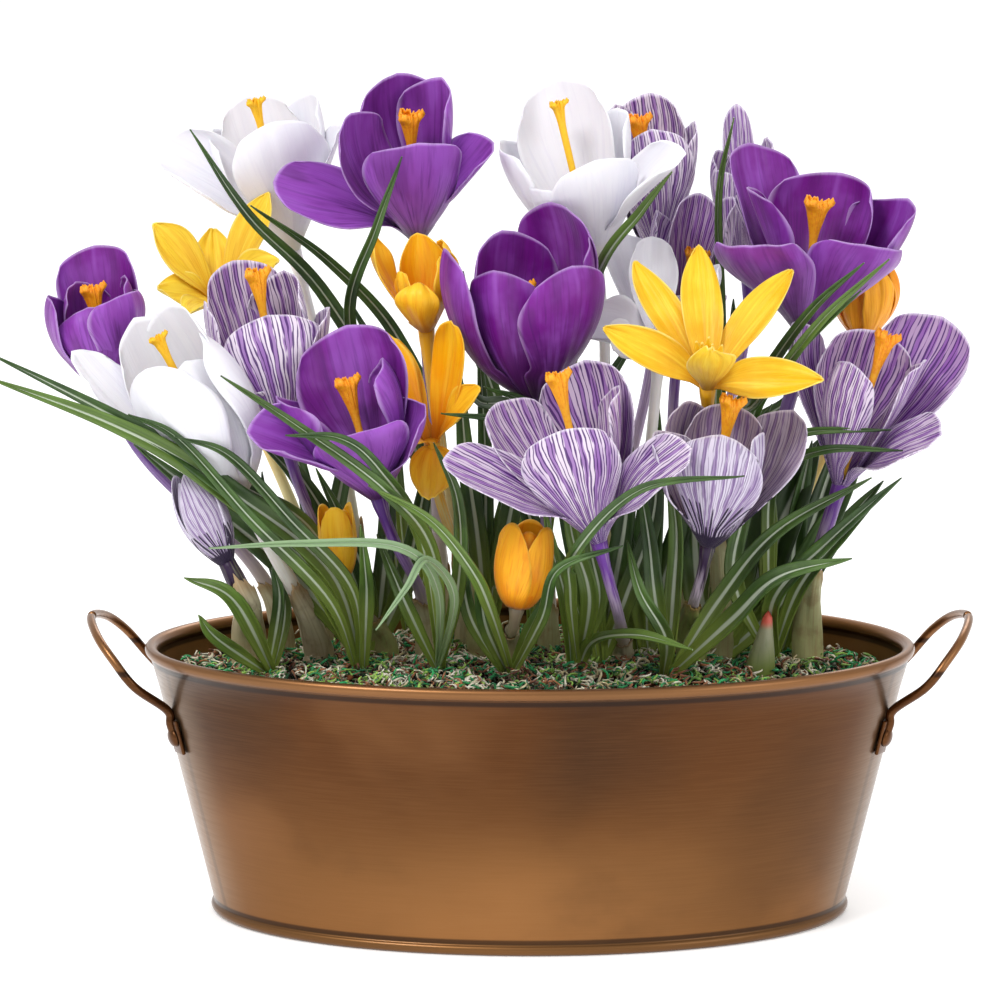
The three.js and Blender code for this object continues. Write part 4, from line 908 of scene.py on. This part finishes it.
def foot_frame(end, side):
    """Where a handle's foot sits on the wall: the spot, along, up and outward."""
    height = HANDLE['foot_height']
    turn = math.asin(side * HANDLE['foot_spread'] / oval(height)[1])

    def at(h):
        p = oval_point(turn, h, TUB['sheet'] / 2)
        return Vector((end * p.x, p.y, p.z))
    up = (at(height + 1) - at(height - 1)).normalized()
    flat = oval_point(turn, height, 1) - oval_point(turn, height)
    outward = Vector((end * flat.x, flat.y, 0))
    outward = (outward - up * outward.dot(up)).normalized()
    return at(height), up.cross(outward), up, outward


def stand(piece, foot, lift):
    """Puts a piece modelled flat at the origin on the wall, in the frame of a handle's foot."""
    spot, along, up, outward = foot
    place = Matrix((along, up, outward)).transposed().to_4x4()
    place.translation = (spot + outward * lift) * MM
    piece.data.transform(place)
    piece.matrix_world = Matrix()


def build_plate(foot):
    """The flattened end of a handle's wire."""
    plate = add(bpy.ops.mesh.primitive_cube_add, size=1)
    plate.data.transform(Matrix.Diagonal([side * MM for side in HANDLE['plate']] + [1]))
    modify(plate, 'BEVEL', width=HANDLE['corner'] * MM, segments=4)
    stand(plate, foot, GAP + HANDLE['plate'][2] / 2)
    return plate


def build_rivet(name, foot, copper):
    """A domed head on a shank that goes through the plate and the wall."""
    head = add(bpy.ops.mesh.primitive_uv_sphere_add, segments=32, ring_count=24, radius=1)
    edit(head)
    bpy.ops.mesh.bisect(plane_co=(0, 0, 0), plane_no=(0, 0, 1), clear_inner=True, use_fill=True)
    leave_edit()
    head.data.transform(Matrix.Diagonal((RIVET['head'] * MM, RIVET['head'] * MM, RIVET['rise'] * MM, 1)))
    shank = add(bpy.ops.mesh.primitive_cylinder_add, vertices=24, radius=RIVET['shank'] * MM,
                depth=RIVET['shank_length'] * MM)
    shank.data.transform(Matrix.Translation((0, 0, -RIVET['shank_length'] / 2 * MM)))
    rivet = gathered(name + "_fine", [head, shank])
    stand(rivet, foot, 2 * GAP + HANDLE['plate'][2])
    finish_piece(rivet, copper, "handle_copper", name, rounded=False)


def build_handle(side, end, copper):
    """A bent wire with a flattened plate at each foot, and the two rivets that hold it."""
    feet = [foot_frame(end, -1), foot_frame(end, 1)]
    plates = [build_plate(foot) for foot in feet]
    lift = GAP + HANDLE['wire'] / 2
    front_leg, back_leg = ([spot + outward * (lift + out) + up * rise for rise, out in HANDLE['leg']]
                           for spot, _, up, outward in feet)
    loop = [Vector((end * out, -side_way, up)) for out, side_way, up in HANDLE['loop']]
    route = [*front_leg, *loop, *[Vector((p.x, -p.y, p.z)) for p in reversed(loop[:-1])],
             *reversed(back_leg)]
    wire = tube_piece("wire", 'wire', lambda t: along_points(route, t), lambda turn, t: HANDLE['wire'] / 2)
    for foot, place in zip(feet, ("front", "back")):
        build_rivet(f"rivet_{side}_{place}", foot, copper)
    handle = gathered(f"handle_{side}_fine", [wire, *plates])
    finish_piece(handle, copper, "handle_copper", "handle_" + side, rounded=False)


def along_points(points, t):
    """A point and direction on the smooth curve through the points, t from 0 to 1."""
    place = min(t, 0.99999) * (len(points) - 1)
    k = int(place)
    f = place - k
    p1, p2 = points[k], points[k + 1]
    p0 = points[k - 1] if k else p1 * 2 - p2
    p3 = points[k + 2] if k + 2 < len(points) else p2 * 2 - p1
    a, b, c = p2 - p0, p0 * 2 - p1 * 5 + p2 * 4 - p3, p1 * 3 - p0 - p2 * 3 + p3
    spot = p1 + (a * f + b * f * f + c * f ** 3) * 0.5
    return spot, (a + b * 2 * f + c * 3 * f * f).normalized()


# ---- Soil and moss -------------------------------------------------------------

def soil_height(x, y):
    edge = min(1, math.hypot(x / (TUB['length'] / 2), y / (TUB['depth'] / 2)))
    lumps = math.sin(0.31 * x + 0.4) * math.cos(0.37 * y) + 0.6 * math.sin(0.23 * x - 0.41 * y)
    return SOIL['edge'] + SOIL['mound'] * (1 - edge * edge) + SOIL['relief'] * lumps


def build_soil(material):
    """The compost that fills the tub, lumpy on top."""
    bed = ring_up("compost", [(-SOIL['wall_gap'], h) for h in (SOIL['bottom'], 30, 60, SOIL['edge'])],
                  SOIL['sides'])
    bpy.ops.object.mode_set(mode='EDIT')
    rings = SOIL['rings'] + 1
    for share in range(SOIL['rings'], 0, -1):
        bpy.ops.mesh.extrude_edges_move()
        shrink = (share / rings) / ((share + 1) / rings)
        bpy.ops.transform.resize(value=(shrink, shrink, 1), center_override=(0, 0, 0))
    bpy.ops.mesh.edge_collapse()
    leave_edit()
    weld(bed)
    for point in bed.data.vertices:
        x, y, z = point.co / MM
        if z > SOIL['edge'] - 0.1:
            crumbs = noise.noise(Vector((x, y, 0)) * 0.35) * 0.9 + noise.noise(Vector((x, y, 9)) * 0.9) * 0.5
            point.co.z = (soil_height(x, y) + crumbs) * MM
    finish_piece(bed, material, "soil", "soil")


def curl_shape(draw):
    """One moss curl: points of a thin strand with three sides, bent in an arc of a few millimetres."""
    steps = CURL['steps']
    bow, sweep, thick = (draw.uniform(*CURL[key]) for key in ('bow', 'sweep', 'thick'))
    points = []
    for k in range(steps + 1):
        spot = Vector((bow * math.cos(sweep * k / steps), bow * math.sin(sweep * k / steps),
                       CURL['climb'] * k))
        outward = Vector((spot.x, spot.y, 0)).normalized()
        size = thick * (1 - CURL['thinning'] * (k / steps) ** 2)
        for i in range(3):
            turn = TAU * i / 3
            points.append(spot + (outward * math.cos(turn) + UP * math.sin(turn)) * size)
    return points


def curl_faces():
    steps = CURL['steps']
    sides = [(3 * k + i, 3 * k + j, 3 * k + 3 + j, 3 * k + 3 + i)
             for k in range(steps) for i, j in ((0, 1), (1, 2), (2, 0))]
    return [(2, 1, 0), *sides, (3 * steps, 3 * steps + 1, 3 * steps + 2)]


def spread_over_soil(draw, margin=4.0):
    """A random spot on the soil, clear of the wall."""
    a, b = oval(SOIL['edge'], -margin)
    while True:
        x, y = draw.uniform(-a, a), draw.uniform(-b, b)
        if (x / a) ** 2 + (y / b) ** 2 < 1:
            return x, y


# Name, dark and light shade, how many curls, and which patches they grow in
MOSS = (("moss_emerald", "0a5c2e", "3ab46a", 2200, 0.0),
        ("moss_green", "4a7a24", "b4e06a", 1900, 0.3),
        ("moss_cream", "c8b684", "fffae6", 2700, 0.55),
        ("moss_brown", "4a2416", "b87850", 1900, 0.8))


def build_moss():
    """A dense cover of tiny curls in four shades, in loose patches."""
    draw = random.Random(SEED['moss'])
    shapes = [curl_shape(draw) for _ in range(CURL['shapes'])]
    faces_of_one = curl_faces()
    per_curl = len(shapes[0])
    for name, dark, light, count, level in MOSS:
        points, faces, lifts = [], [], []
        while len(points) < count * per_curl:
            x, y = spread_over_soil(draw)
            patch = noise.noise(Vector((x * CURL['patch'], y * CURL['patch'], 10 * level + 2)))
            if patch < draw.uniform(*CURL['bare']):
                continue
            spin = (Matrix.Rotation(draw.uniform(0, TAU), 3, 'Z') @ Matrix.Rotation(
                draw.gauss(0, CURL['tilt']), 3, 'X') @ Matrix.Rotation(draw.uniform(0, TAU), 3, 'Z'))
            size = draw.uniform(*CURL['size'])
            hummock = CURL['hummock_height'] * noise.noise(
                Vector((x * CURL['hummock'], y * CURL['hummock'], 4)))
            lift = draw.random()
            where = Vector((x, y, soil_height(x, y) + hummock + mix(*CURL['lift'], lift)))
            start = len(points)
            lifts += [lift] * per_curl
            points += [(where + spin @ (p * size)) * MM for p in draw.choice(shapes)]
            faces += [tuple(start + i for i in face) for face in faces_of_one]
        mesh = bpy.data.meshes.new(name)
        mesh.from_pydata(points, [], faces)
        rise = [((loop.vertex_index % per_curl) // 3) / CURL['steps'] for loop in mesh.loops]
        mesh.uv_layers.new(name="UVMap").data.foreach_set('uv', [value for v in rise for value in (0.5, v)])
        piece = bpy.data.objects.new(name, mesh)
        bpy.context.scene.collection.objects.link(piece)
        tint(piece, lifts)
        finish_piece(piece, moss_material(name + "_strands", dark, light), "soil")


def build_bark(material):
    """Chips of bark that lie in the moss."""
    draw = random.Random(SEED['bark'])
    chips = []
    first = add(bpy.ops.mesh.primitive_ico_sphere_add, subdivisions=2, radius=1)
    for _ in range(BARK['chips']):
        chip = first.copy()
        chip.data = first.data.copy()
        bpy.context.scene.collection.objects.link(chip)
        x, y = spread_over_soil(draw, BARK['clear_of_wall'])
        length = draw.uniform(*BARK['length'])
        for point in chip.data.vertices:
            point.co *= 1 + BARK['roughness'] * noise.noise(point.co * 1.6 + Vector((x, y, 3)))
        place = Matrix.Translation(Vector((x, y, soil_height(x, y) + BARK['above_soil'])) * MM)
        turn = Matrix.Rotation(draw.uniform(0, TAU), 4, 'Z') @ Matrix.Rotation(
            draw.uniform(*BARK['tilt']), 4, 'X')
        chip.data.transform(place @ turn @ Matrix.Diagonal((
            length * MM, length * draw.uniform(*BARK['width']) * MM,
            length * draw.uniform(*BARK['height']) * MM, 1)))
        chips.append(chip)
    bpy.data.objects.remove(first)
    finish_piece(gathered("bark_chips", chips), material, "soil")


# ---- Blooms --------------------------------------------------------------------

def settle(piece, bloom):
    """Moves a part from its own axis to the flower's throat and lean."""
    axis = Vector(bloom['lean']).normalized()
    right = (Vector((1, 0, 0)) - axis * axis.x).normalized()
    place = Matrix((right, axis.cross(right), axis)).transposed().to_4x4()
    place.translation = Vector(bloom['throat']) * MM
    piece.data.transform(place)


def bezier(p, t):
    """A point and direction on the curve with four control points."""
    s = 1 - t
    spot = p[0] * s ** 3 + p[1] * 3 * s * s * t + p[2] * 3 * s * t * t + p[3] * t ** 3
    direction = (p[1] - p[0]) * s * s + (p[2] - p[1]) * 2 * s * t + (p[3] - p[2]) * t * t
    return spot, direction.normalized()


def outline_share(u, tip):
    """Half the width of a petal along its length, as a share of its greatest."""
    peak = SHOULDER / (SHOULDER + tip)
    return u ** SHOULDER * (1 - u) ** tip / (peak ** SHOULDER * (1 - peak) ** tip)


def petal_sheet(bloom, petal, outer, draw):
    """A cupped blade with a rounded tip, waved at its edges, along a curved midrib."""
    azimuth, reach, rise, belly, width, *rolled = petal
    kind = bloom['kind']
    roll = math.radians(rolled[0]) if rolled else 0
    star = bloom.get('look') == "lemon"
    tip = STAR_TIP if star else TIP[kind]
    drop = STAR_TIP_DROP if star else TIP_DROP[kind]

    def vary(key):
        return draw.uniform(*VARIETY[key])
    point = vary('point')
    bulge = 0.9 * belly + (LAYER_STEP if outer else 0)
    full = max(0, belly - 3)
    low = (0.35 - 0.026 * full) * rise + 0.1 * reach
    rib = [Vector(p) for p in ((CLAW, -1.5), (CLAW + 0.25 * reach + bulge + 0.5 * full, low),
                               (0.75 * reach + bulge, 0.75 * rise), (reach, rise))]
    turn = Matrix.Rotation(math.radians(azimuth), 3, 'Z')
    wave, phase, fold = vary('wave'), draw.uniform(0, TAU), draw.uniform(0, TAU)
    tip_curl, edge_curl, uneven, skew = vary('tip_curl'), vary('edge_curl'), vary('uneven'), vary('skew')
    widest = BROADER[kind] * width / 2

    def shape(across, along):
        s = along * (1.25 - 0.25 * along)
        cap = (1 - point) * math.sqrt(max(0, 1 - across * across)) + point * (1 - abs(across))
        u = s * (1 - drop) + drop * s ** 5 * cap
        (radial, axial), (dr, da) = bezier(rib, u)
        half = widest * outline_share(max(s * (1 - 0.8 * drop), 0.001), tip)
        half *= 1 + uneven * across * s + 0.025 * math.sin(9 * s + 2 * fold + across)
        # The foot wraps the flower's throat, and the blade opens from there
        hold = 1 - smooth(s, 0.05 + 0.02 * full, 0.3 + 0.035 * full)
        half = max(half, 0.75 * max(radial, CLAW) * hold)
        cup = mix(CUP[kind], min(half / max(radial, 1.0), 1.1), hold)
        sideways = half * math.sin(cup * across) / math.sin(cup)
        raised = half * (1 - math.cos(cup * across)) / math.sin(cup)
        # Waved and curled edges, folds, fine ribs, a curled tip and a groove along the middle
        edge = across * across
        raised += edge * wave * math.sin(8 * s + phase + 2 * across) * s
        raised += half * edge_curl * edge * edge * smooth(s, 0.3, 0.8)
        raised += 0.4 * math.sin(4.5 * across + fold) * math.sin(3 * s + phase) * smooth(s, 0.1, 0.4)
        raised += 0.16 * math.sin(11 * across + 2 * s + phase) * smooth(s, 0.2, 0.7)
        raised += tip_curl * s ** 6 - 0.3 * math.exp(-(across / 0.08) ** 2) * smooth(s, 0.1, 0.3)
        sideways += skew * width * math.sin(2.5 * s)
        turned = roll * smooth(u, 0, 0.5)
        lift = raised * math.cos(turned) + sideways * math.sin(turned)
        side = sideways * math.cos(turned) - raised * math.sin(turned)
        return turn @ Vector((radial - da * lift, side, axial + dr * lift))

    sheet = grid_piece("petal", 'petal', shape)
    # Painted light and shade: a petal toward the front is painted paler, as if lit, and one at the back
    # deeper; in a striped bloom the back petals take the shade colour
    toward_front = 0.5 - 0.5 * math.sin(math.radians(azimuth))
    shade = 1 - toward_front if kind == 'striped' else toward_front
    shade = 0.1 + 0.6 * shade + bloom.get('tone', 0) + vary('tone')
    tint(sheet, min(1, max(0, shade)))
    return sheet


def bud_sheet(azimuth, radius, height, layer, spindle, draw):
    """One of the lobes that wrap a closed bud, pointed at the top; a spindle is slim at both ends."""
    middle = math.radians(azimuth) + draw.uniform(-0.15, 0.15)
    lean = draw.uniform(0, TAU)

    def shape(across, along):
        s = along * (1.2 - 0.2 * along)
        cap = 1 - 0.9 * abs(across) ** 2.4
        rise = height * (s * 0.8 + 0.2 * s ** 4 * cap)
        t = rise / height
        if spindle:
            belly = math.sin(math.pi * (0.05 + 0.87 * t)) ** 0.9
        else:
            belly = math.sin(math.pi * (0.08 + 0.8 * t ** 0.85)) ** 0.7
        size = radius * max(belly, 0.16) + layer * (0.5 + t) + 0.25 * math.sin(3 * across + lean)
        size += (0.2 if spindle else 0.5 + 0.6 * layer) * s ** 5
        turn = middle + across * 1.25 * (1 - 0.35 * s ** 3)
        return Vector((size * math.cos(turn), size * math.sin(turn), rise - 1.0))

    sheet = grid_piece("petal", 'bud', shape)
    tint(sheet, draw.uniform(0.0, 0.15) if spindle else draw.uniform(0.3, 0.6) if layer else 0.0)
    return sheet


def bud_sheets(bloom, draw):
    """Two layers of lobes, the inner one shorter and set between the outer ones."""
    bud = bloom['bud']
    spindle = bloom['kind'] == 'striped'
    radius = bud['radius'] * (1.8 if spindle else 1.16)
    sheets = [bud_sheet(azimuth, radius, bud['height'] * rise, layer, spindle, draw)
              for layer, rise in ((0.0, 0.93), (0.9, 1.0)) for azimuth in bud['lobes']]
    for sheet in sheets[:3]:
        sheet.data.transform(Matrix.Rotation(math.radians(60), 4, 'Z'))
    return sheets


def bloom_route(bloom):
    """The stem: upright from the soil, then bending over to the flower's axis."""
    foot_radius, upper_radius = bloom.get('stem', STEM['radii'])
    x, y = bloom['foot']
    throat = Vector(bloom['throat'])
    axis = Vector(bloom['lean']).normalized()
    ground = Vector((x, y, STEM['straight']))
    pull = STEM['pull'] * (ground - throat).length
    points = [ground, ground + UP * (pull * bloom.get('upright', 1.0)), throat - axis * pull, throat]
    straight = STEM['upright_share']

    def centre(t):
        if t < straight:
            return Vector((x, y, mix(STEM['sunk'], STEM['straight'], t / straight))), UP
        return bezier(points, (t - straight) / (1 - straight))

    def radius(turn, t):
        slim = mix(foot_radius, upper_radius, smooth(t, 0.1, 0.1 + STEM['thin_by']))
        flare = (CLAW + STEM['flare'] - slim) * smooth(t, 0.9, 1.0)
        return slim + flare + 0.12 * math.sin(3 * turn) * smooth(t, 0.3, 0.9)
    return centre, radius


def build_bloom(bloom, draw):
    """The petals in one piece and the tube that carries them in another."""
    kind, name = bloom['kind'], bloom['name']
    look = bloom.get('look', 'golden' if kind == 'yellow' else kind)
    if 'bud' in bloom:
        sheets = bud_sheets(bloom, draw)
    else:
        sheets = [petal_sheet(bloom, petal, i % 2 == 0, draw) for i, petal in enumerate(bloom['petals'])]
    petals = gathered(name + "_petals", sheets)
    thicken(petals, THICK['petal'])
    settle(petals, bloom)
    finish_piece(petals, PETAL[look], "petal_" + kind, name)
    tube = tube_piece(name + "_tube", 'tube', *bloom_route(bloom))
    tube_look = 'papery' if kind == 'yellow' and 'bud' in bloom else 'dark' if look == 'dark' else kind
    finish_piece(tube, TUBE[tube_look], "petal_" + kind, name)


def build_style(bloom, material, draw):
    """A slim stalk that opens in a frilled funnel of three lobes; thin and forked in a white bloom."""
    length = bloom['style']
    white = bloom['kind'] == 'white'
    head = STYLE['white_head'] if white else min(STYLE['head_share'] * length, STYLE['longest_head'])
    spread, depth = (STYLE['white_spread'] if white else
                     (bloom.get('style_spread', STYLE['spread']), STYLE['lobes']))
    stalk, share = STYLE['stalk'], STYLE['stalk_share']

    def shape(across, along):
        turn = math.pi * (across + 1)
        lobes = 0.5 + 0.5 * math.cos(3 * turn)
        if along < share:
            t = along / share
            height, radius = mix(STYLE['start'], length - head, t), mix(0.7, stalk, t)
        else:
            t = (along - share) / (1 - share)
            frill = math.sin(13 * turn + 2 * math.sin(2 * turn)) + 0.7 * math.sin(23 * turn + 5 * t)
            height = length - head + head * t * (0.86 + 0.14 * lobes)
            height += 0.42 * smooth(t, 0.5, 1.0) * frill - 1.1 * smooth(t, 0.75, 1.0) * lobes
            radius = stalk + (spread - stalk) * smooth(t, -0.2, 1.1) ** 1.3 * (1 - depth + depth * lobes)
            radius += 1.5 * smooth(t, 0.66, 0.9) * lobes + 0.36 * t ** 2 * frill
            radius *= 1 - 0.24 * smooth(t, 0.84, 1.0)
        return Vector((radius * math.cos(turn), radius * math.sin(turn), height))

    style = grid_piece(bloom['name'] + "_style_fine", 'style', shape)
    weld(style, closed=False)
    thicken(style, THICK['style'])
    tint(style, 1.0 if white else draw.uniform(0, 0.35))
    settle(style, bloom)
    finish_piece(style, material, "style_orange", bloom['name'] + "_style")


def stamen_radius(turn, t):
    """A thin stalk that swells into a furrowed anther."""
    return (0.35 + 0.85 * smooth(t, 0.35, 0.5) * (1 - smooth(t, 0.8, 1.0))
            + 0.12 * math.sin(2 * turn) * smooth(t, 0.4, 0.5))


def build_stamens(bloom, material):
    """Pale stamens round the axis of a bloom that opens flat; its short style is not made."""
    parts = []
    for i in range(STAMEN['count']):
        turn = TAU * i / STAMEN['count'] + STAMEN['first']
        reach, rise = STAMEN['short' if i % 2 else 'long']
        away = Vector((math.cos(turn), math.sin(turn), 0))
        rib = [away * 0.5 + UP, away * 0.3 * reach + UP * 0.4 * rise,
               away * 0.8 * reach + UP * 0.7 * rise, away * reach + UP * rise]
        parts.append(tube_piece("stamen", 'stamen', lambda t, rib=rib: bezier(rib, t), stamen_radius))
    stamens = gathered(bloom['name'] + "_stamens", parts)
    settle(stamens, bloom)
    finish_piece(stamens, material, "style_orange", bloom['name'] + "_style")


def sheath_sheet(bloom, draw):
    """A papery sheath that wraps a stem's foot, follows it up and opens in a slanted point."""
    centre, radius = bloom_route(bloom)
    if bloom['name'] in SHEATHS:
        slant = draw.uniform(-SHEATH['slant'], SHEATH['slant']) - math.pi / 2
    else:
        slant = draw.uniform(0, TAU)
    usual = (draw.uniform(*SHEATH['top']), SHEATH['slack'], draw.uniform(*SHEATH['green']))
    top, slack, green = SHEATHS.get(bloom['name'], usual)
    start, clearance = SHEATH['start'], SHEATH['clearance']

    def shape(across, along):
        turn = math.pi * (across + 1)
        torn = 0.02 * math.sin(7 * turn + slant) + 0.012 * math.sin(17 * turn)
        t = start + (top - start) * along * (0.84 + 0.16 * math.cos(turn - slant) + torn * along ** 4)
        size = radius(turn, t) + clearance + slack * (1 - along ** 2) + 0.35 * smooth(along, 0.85, 1.0)
        size += (0.15 + 0.16 * slack) * math.sin(3 * turn + 3 + 5 * along + slant)
        size += 0.12 * math.sin(7 * turn + 9 * along) + 0.1 * math.sin(11 * turn) * along
        return beside(centre, t, turn, size)

    sheath = grid_piece("sheath", 'sheath', shape)
    weld(sheath, closed=False)
    thicken(sheath, THICK['sheath'])
    tint(sheath, green)
    return sheath


# ---- Leaves and the young shoot ---------------------------------------------------

def leaf_sheet(foot, leaf, turn, pale, draw):
    """A narrow channelled blade that tapers to a point, facing forward."""
    width, *way = leaf
    ring = LEAF['root_ring']
    root = Vector((foot[0] + ring * math.cos(turn), foot[1] + ring * math.sin(turn), LEAF['root_height']))
    route = [root, *[Vector(point) for point in way]]
    facing = Vector((draw.uniform(-LEAF['sway'], LEAF['sway']), -1, 0.5)).normalized()
    twist = draw.uniform(-LEAF['twist'], LEAF['twist'])

    def shape(across, along):
        spot, direction = along_points(route, along)
        side = direction.cross(facing).normalized()
        behind = side.cross(direction)
        side, behind = (side * math.cos(twist * along) + behind * math.sin(twist * along),
                        behind * math.cos(twist * along) - side * math.sin(twist * along))
        half = LEAF['half_width'] * width * min(1, 0.4 + 2 * along) * (1 - along ** 4) + LEAF['tip']
        channel = LEAF['channel'] * half * (abs(across) ** 1.5)
        channel -= LEAF['groove'] * math.exp(-(across / 0.2) ** 2)
        channel += 0.12 * math.sin(7 * along + 5 * across) * half
        return spot + side * (half * across) + behind * channel

    sheet = grid_piece("leaf", 'leaf', shape)
    tint(sheet, draw.uniform(0, 0.95) + pale)
    return sheet


def build_tuft(tuft, material, draw):
    """One clump of leaves; those of the inner tufts are painted dark as painted shade and stand for no node.
    """
    count = len(tuft['leaves'])
    inner = tuft in INNER_LEAVES
    sheets = [leaf_sheet(tuft['foot'], leaf, TAU * i / count,
                         -0.5 if inner else float((tuft['name'], i) in PALE_LEAVES), draw)
              for i, leaf in enumerate(tuft['leaves'])]
    leaves = gathered(tuft['name'] + "_blades", sheets)
    thicken(leaves, THICK['leaf'])
    finish_piece(leaves, material, "leaf_green", *([] if inner else [tuft['name']]))


def build_shoot(material):
    """A young shoot that has just come through the moss."""
    foot = Vector((*SHOOT['foot'], STEM['sunk']))
    tip = Vector(SHOOT['tip'])

    def radius(turn, t):
        slim = 1.3 + (SHOOT['radius'] - 1.3) * (1 - smooth(t, 0.3, 1.04)) ** 0.8
        folds = 1 + 0.07 * math.sin(2 * turn + 5 * t) + 0.03 * math.sin(5 * turn + 3 * t)
        return slim * folds * math.sqrt(max(0.02, 1 - smooth(t, 0.9, 1.0) ** 2))
    shoot = tube_piece("shoot_fine", 'shoot', lambda t: (foot.lerp(tip, t), UP), radius)
    finish_piece(shoot, material, "pale_shoot", "shoot")


# ---- Putting it together -------------------------------------------------------------

copper = copper_material("antiqued_copper", 0.36, 0.7)
wire_copper = copper_material("handle_wire_copper", 0.32, 0.5, plain=True)
build_wall(copper)
build_floor(copper)
build_handle("left", -1, wire_copper)
build_handle("right", 1, wire_copper)
build_soil(soil_material())
build_moss()
build_bark(bark_material())

draw = random.Random(SEED['plants'])
for bloom in BLOOMS:
    build_bloom(bloom, draw)
orange = style_material()
for bloom in BLOOMS:
    if bloom.get('look') == 'lemon' and 'style' in bloom:
        build_stamens(bloom, PETAL['lemon'])
    elif 'style' in bloom:
        build_style(bloom, orange, draw)

green = leaf_material()
for tuft in TUFTS + INNER_LEAVES:
    build_tuft(tuft, green, draw)
build_shoot(shoot_material())

finish_piece(gathered("papery_sheaths", [sheath_sheet(bloom, draw) for bloom in BLOOMS]),
             sheath_material(), "pale_shoot")


# ---- Studio, in metres -----------------------------------------------------------------

ground = add(bpy.ops.mesh.primitive_plane_add, size=40)
ground.name = "studio_floor"
ground.data.materials.append(floor_material())

MIDDLE = Vector((0, 0, 0.13))
# Name, place, width and power
LIGHTS = (("key_light", (-0.7, -0.9, 1.3), 0.5, 12),
          ("fill_light", (1.1, -1.0, 0.7), 0.9, 4),
          ("back_light", (0.3, 1.2, 1.2), 0.8, 5))
for name, where, size, power in LIGHTS:
    light = bpy.data.lights.new(name, 'AREA')
    light.shape, light.size, light.energy = 'DISK', size, power
    lamp = bpy.data.objects.new(name, light)
    lamp.location = where
    lamp.rotation_euler = (MIDDLE - Vector(where)).to_track_quat('-Z', 'Y').to_euler()
    bpy.context.scene.collection.objects.link(lamp)

world = bpy.data.worlds.new("studio")
world.use_nodes = True
background = world.node_tree.nodes['Background']
background.inputs['Color'].default_value = (1, 1, 1, 1)
background.inputs['Strength'].default_value = 0.9
bpy.context.scene.world = world
bpy.context.scene.view_settings.view_transform = 'Standard'

CAMERA = dict(place=(-0.00928, -1.3764, 0.3785), tilt_down=0.1788, sensor=36, lens=162.85, far=100)
camera = bpy.data.cameras.new("camera")
camera.sensor_width, camera.lens, camera.clip_end = CAMERA['sensor'], CAMERA['lens'], CAMERA['far']
eye = bpy.data.objects.new("camera", camera)
eye.location = CAMERA['place']
eye.rotation_euler = (math.pi / 2 - CAMERA['tilt_down'], 0, 0)
bpy.context.scene.collection.objects.link(eye)
bpy.context.scene.camera = eye
